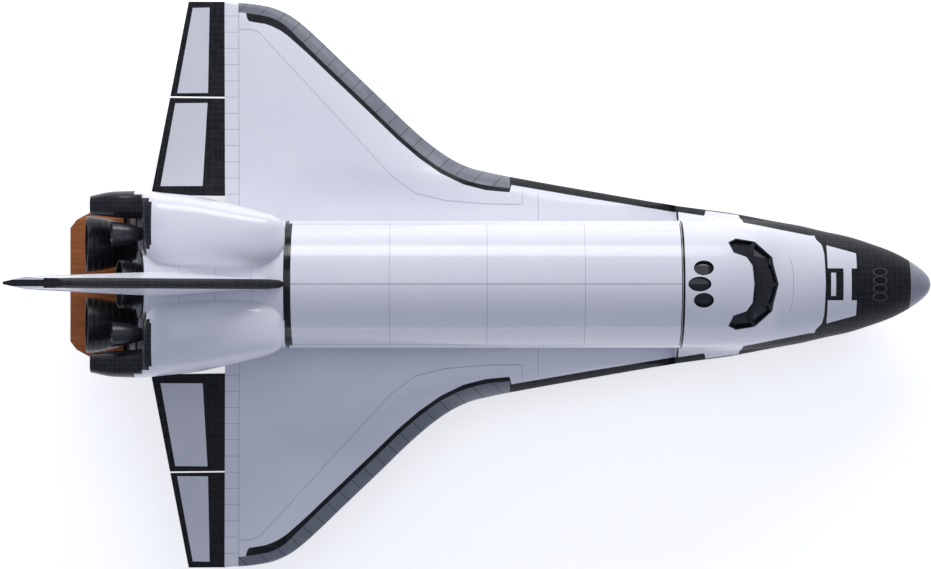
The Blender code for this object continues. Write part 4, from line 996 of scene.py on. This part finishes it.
def wing_section(y):
    """Closed (x, z) section of the wing, from its nose over the top."""
    front = table_row(FINE_EDGE[::-1], y)[1]
    hinge, nose = hinge_at(max(y, HINGE_ROOT.y))
    rear = hinge.x + 0.6 * nose
    chord = front - rear
    span = (y - BODY_RADIUS) / (WING_TIP_Y - BODY_RADIUS)
    base = (y - BODY_RADIUS) * DIHEDRAL * (1 - 0.5 * ease(1 - 3 * span))
    rear_top = hinge.z + nose
    rear_low = max(hinge.z - nose, base)
    thick = min(1.5 * (1 - span) + 0.34 * span, 0.13 * chord + 0.3)
    lip = 0.42 * thick
    top, low = [], []
    blunt = y < WING_EDGE[0][1] + 0.01
    for share in (0.0, 0.003, 0.012, 0.028, 0.05, 0.09, 0.14, 0.22, 0.32, 0.46, 0.6, 0.8):
        rise = min(1.0, share / 0.32)
        crown = base + lip + (thick - lip) * sin(pi / 2 * rise) ** 0.75
        if share > 0.32:
            crown = base + thick + (rear_top - base - thick) * (share - 0.32) / 0.68
        if share == 0.0 and blunt:
            crown = base + lip + 0.55 * (thick - lip) * (1.2 - (y - BODY_RADIUS))
        top.append((front - chord * share, crown))
    for share in (0.6, 0.32, 0.14, 0.09, 0.05, 0.028, 0.012, 0.003):
        foot = base + lip * max(0.0, 1 - share / 0.09) ** 2
        if share > 0.32:
            foot = base + (rear_low - base) * (share - 0.32) / 0.68
        low.append((front - chord * share, foot))
    return top + [(rear, rear_top), (rear, rear_low)] + low


def carbon_outline(gap):
    """Band along the leading edge seen from above, drawn in by a gap."""
    edge = [Vector(point) for point in WING_EDGE if point[0] < 1.9]
    inner, outer = [], []
    for i, point in enumerate(edge):
        out = outward(edge, i)
        width = CARBON_WIDTH - 0.14 * ease((point.y - 10.5) / 1.2) - gap
        inner.append(point - out * width)
        outer.append(point + out * 0.4)
    front, rear = CARBON_ENDS[0] - gap, CARBON_ENDS[1] + gap
    inner[0], outer[0] = Vector((front, edge[0].y - 0.5 + gap)), Vector((front, edge[0].y + 0.4))
    inner[-1], outer[-1] = Vector((rear, 11.45 + gap)), Vector((rear, 12.4))
    return [(p.x, p.y) for p in curved(inner, 4) + outer[::-1]]


def dress_wings():
    """Smooth wings and their carbon leading edges."""
    (tip, tip_nose), (root, root_nose) = hinge_at(WING_TIP_Y + 0.6), hinge_at(HINGE_ROOT.y - 1.3)
    cove = rod(root, tip, root_nose + 0.01, 64, tip_nose + 0.01)
    stations = [WING_ROOT_Y] + [y for y, _ in FINE_EDGE]
    form = loft([[(x, y, z) for x, z in wing_section(y)] for y in stations])
    band, narrow = [prism(carbon_outline(gap), -1, 4) for gap in (0.0, 0.004)]
    both_sides("wing_shell", form, wing_paint(), "airframe", "wing_*", 30,
               cut=[band, cove, box(*MAIN_WELL)])
    both_sides("leading_edge", form, carbon_paint(), "airframe", "wing_leading_edge_*",
               30, keep=[narrow])


# Radius, width, rim radius, spacing of the two wheels and radius of their axle
MAIN_TYRE = (0.5575, 0.406, 0.27, 0.86, 0.085)
NOSE_TYRE = (0.4005, 0.224, 0.19, 0.58, 0.06)


def tyre_shape(tyre):
    """Rounded tyre with grooves round its tread."""
    radius, width, rim, _, _ = tyre
    shoulder = [(1.0, 0.5 * (radius + rim)), (0.98, 0.8 * radius), (0.93, 0.9 * radius),
                (0.82, 0.96 * radius), (0.66, 0.993 * radius), (0.52, radius)]
    tread = []
    for middle in (0.38, 0.0, -0.38):
        tread += [(middle + 0.07, radius), (middle + 0.05, radius - 0.012),
                  (middle - 0.05, radius - 0.012), (middle - 0.07, radius)]
    profile = [(0.62, rim)] + shoulder + tread
    profile += [(-across, height) for across, height in reversed(shoulder)] + [(-0.62, rim)]
    return lathe([(across * width / 2, height) for across, height in profile], 72)


def wheels_shape(tyre):
    """Two dished rims with bolt heads, on one axle."""
    _, width, rim, spacing, axle = tyre
    half_gap, half, rim = spacing / 2, width / 2, rim - SEAT
    inner, outer = half_gap - 0.62 * half, half_gap + 0.62 * half
    well = half_gap + 0.15 * half
    side = [(inner, axle), (inner, rim), (outer, rim), (outer, 0.88 * rim),
            (outer - 0.02, 0.84 * rim), (well, 0.62 * rim), (well, 0.3 * rim),
            (well + 0.03, 0.26 * rim), (well + 0.03, 0.0)]
    profile = [(-along, radius) for along, radius in reversed(side)] + side
    shapes = [lathe(profile, 64, closed=False)]
    for end in (-1, 1):
        for a in turns(10):
            foot = Vector((end * (well - 0.002), 0.46 * rim * cos(a), 0.46 * rim * sin(a)))
            shapes.append(rod(foot, foot + Vector((end * 0.018, 0, 0)), 0.014, 6))
    return together(shapes)


def dress_wheels():
    """The wheel pairs, each on its own body, and their tyres."""
    rim = plain_paint("rim_skin", (0.4, 0.41, 0.42), (0.55, 0.56, 0.57), 0.3, 0.8)
    rubber = plain_paint("tyre_skin", (0.012, 0.012, 0.012), (0.03, 0.03, 0.03), 0.8, scale=12.0)
    for leg, tyre in (("nose_gear", NOSE_TYRE), ("main_gear_left", MAIN_TYRE),
                      ("main_gear_right", MAIN_TYRE)):
        body = leg.replace("gear", "wheels")
        centre = TO_FRAME.inverted() @ JOINT_AT[f"{body}_roll"]
        turned = aimed(centre, (0, 1, 0), (1, 0, 0))
        piece(f"{leg}_rims", wheels_shape(tyre).moved(turned), rim, body, f"{leg}_wheels")
        for name, side in SIDES.items():
            across = Vector((side * tyre[3] / 2, 0, 0))
            shape = tyre_shape(tyre).moved(turned @ Matrix.Translation(across))
            piece(f"{leg}_rubber_{name}", shape, rubber, body, f"{leg}_tyre_{name}")


def dress_bay():
    """Twelve frames and four longerons that line the payload bay."""
    lining = plain_paint("frame_paint", (0.34, 0.38, 0.34), (0.44, 0.47, 0.43), 0.55)
    wall = [(2.225, 3.5), (2.255, 2.9), (2.255, 2.0), (1.955, 1.245), (1.2, 0.815)]
    wall += [(-y, z) for y, z in reversed(wall)]
    inner = []
    for point in map(Vector, wall):
        inner.append(point + (Vector((0, 2.6)) - point).normalized() * 0.055)
    ribs = []
    for i in range(12):
        x = BAY_REAR + 0.73 + i * 1.33
        ribs.append(loft([[(x + dx, y, z) for y, z in wall + inner[::-1]]
                          for dx in (-0.03, 0.03)]))
    for side in SIDES.values():
        for y, z in ((2.2, 3.44), (2.23, 2.45)):
            start, end = (BAY_REAR + 0.1, y * side, z), (CABIN_REAR - 0.2, y * side, z)
            ribs.append(rod(start, end, 0.03, 10))
    piece("bay_frames", together(ribs), lining, sharp=30)


def dress_nodes():
    """Paint on the solids that show as they are. A * stands for the side."""
    radiator = plain_paint("radiator_skin", (0.62, 0.64, 0.67), (0.78, 0.79, 0.8), 0.2,
                           metallic=0.9, scale=0.7)
    glass = plain_paint("window_glass_skin", (0.012, 0.014, 0.018), (0.02, 0.022, 0.028), 0.06,
                        coat=0.6, scale=0.8)
    lining = plain_paint("bay_lining", (0.4, 0.44, 0.4), (0.5, 0.53, 0.48), 0.6)
    cabin = plain_paint("cabin_paint", (0.22, 0.24, 0.25), (0.34, 0.36, 0.37), 0.6)
    steel = plain_paint("gear_skin", (0.45, 0.46, 0.47), (0.6, 0.61, 0.62), 0.35, 0.6)
    dark = plain_paint("belly_tile_skin", (0.01, 0.011, 0.013), (0.025, 0.026, 0.03), 0.5)
    for material, nodes in (
            (elevon_paint(), "elevon_inboard_* elevon_outboard_*"),
            (fin_paint(), "speedbrake_* vertical_fin rudder_drive_shaft"),
            (radiator, "radiator_*"), (mid_paint(), "mid_fuselage"),
            (flap_paint(), "body_flap"), (cabin, "flight_deck"),
            (glass, "windshield_panes roof_window_panes bay_window_panes"),
            (lining, "cabin_rear_bulkhead aft_bay_bulkhead"),
            (steel, "nose_gear_strut nose_gear_fork main_gear_strut_*"),
            (dark, "umbilical_door_* main_gear_door_* nose_gear_door_*")):
        for node in nodes.split():
            for side in SIDES:
                assign(node.replace("*", side), material)


CAMERA_PLACE = (0, -0.7, 135.4)     # above the vehicle and square to it, in its own axes
LENS, SENSOR, SHIFT = 123.6, 36.0, 0.018
FAR = 400.0                         # how far the camera sees and the floor reaches


def place_camera():
    data = bpy.data.cameras.new("camera")
    data.lens, data.sensor_width, data.shift_y = LENS, SENSOR, SHIFT
    data.clip_end = FAR
    camera = placed("camera", data)
    camera.matrix_world = TO_FRAME @ Matrix.Translation(CAMERA_PLACE)
    bpy.context.scene.camera = camera


LIGHTS = {
    # name: place, target, size in metres, watts, colour
    "key": ((0, 58, 36), (0, 0, 4), (70, 24), 29000, (1.0, 0.99, 0.97)),
    "top": ((0, 14, 80), (0, 0, 0), (60, 40), 7200, (0.95, 0.97, 1.0)),
    "rim": ((0, -70, 10), (0, 0, 4), (60, 6), 2200, (0.85, 0.9, 1.0)),
}


def light_scene():
    """A cool surround, a large key light to port, one overhead and a rim light."""
    world = bpy.data.worlds.new("studio")
    world.use_nodes = True
    back = world.node_tree.nodes["Background"]
    back.inputs["Color"].default_value = (0.68, 0.73, 0.96, 1.0)
    back.inputs["Strength"].default_value = 0.37
    bpy.context.scene.world = world
    bpy.context.scene.view_settings.view_transform = "Standard"
    for name, (place, target, size, watts, colour) in LIGHTS.items():
        data = bpy.data.lights.new(name, "AREA")
        data.shape = "RECTANGLE"
        data.size, data.size_y = size
        data.energy, data.color = watts, colour
        light = placed(name, data)
        light.location = place
        aim = Vector(target) - Vector(place)
        light.rotation_euler = aim.to_track_quat("-Z", "Y").to_euler()


def lay_floor():
    """A white floor with a glow of its own, for the white background."""
    mesh = bpy.data.meshes.new("floor")
    corners = [(-FAR, -FAR, 0), (FAR, -FAR, 0), (FAR, FAR, 0), (-FAR, FAR, 0)]
    mesh.from_pydata(corners, [], [(0, 1, 2, 3)])
    material = bpy.data.materials.new("floor_white")
    material.use_nodes = True
    shader = material.node_tree.nodes["Principled BSDF"]
    for name, value in (("Base Color", (0.9, 0.9, 0.9, 1.0)), ("Roughness", 0.9),
                        ("Emission Color", (1, 1, 1, 1)), ("Emission Strength", 0.62)):
        shader.inputs[name].default_value = value
    mesh.materials.append(material)
    placed("floor", mesh)


place_camera()
light_scene()
lay_floor()
dress_nodes()
dress_forward()
dress_doors()
dress_aft()
dress_pods()
dress_engines()
dress_wings()
dress_wheels()
dress_bay()
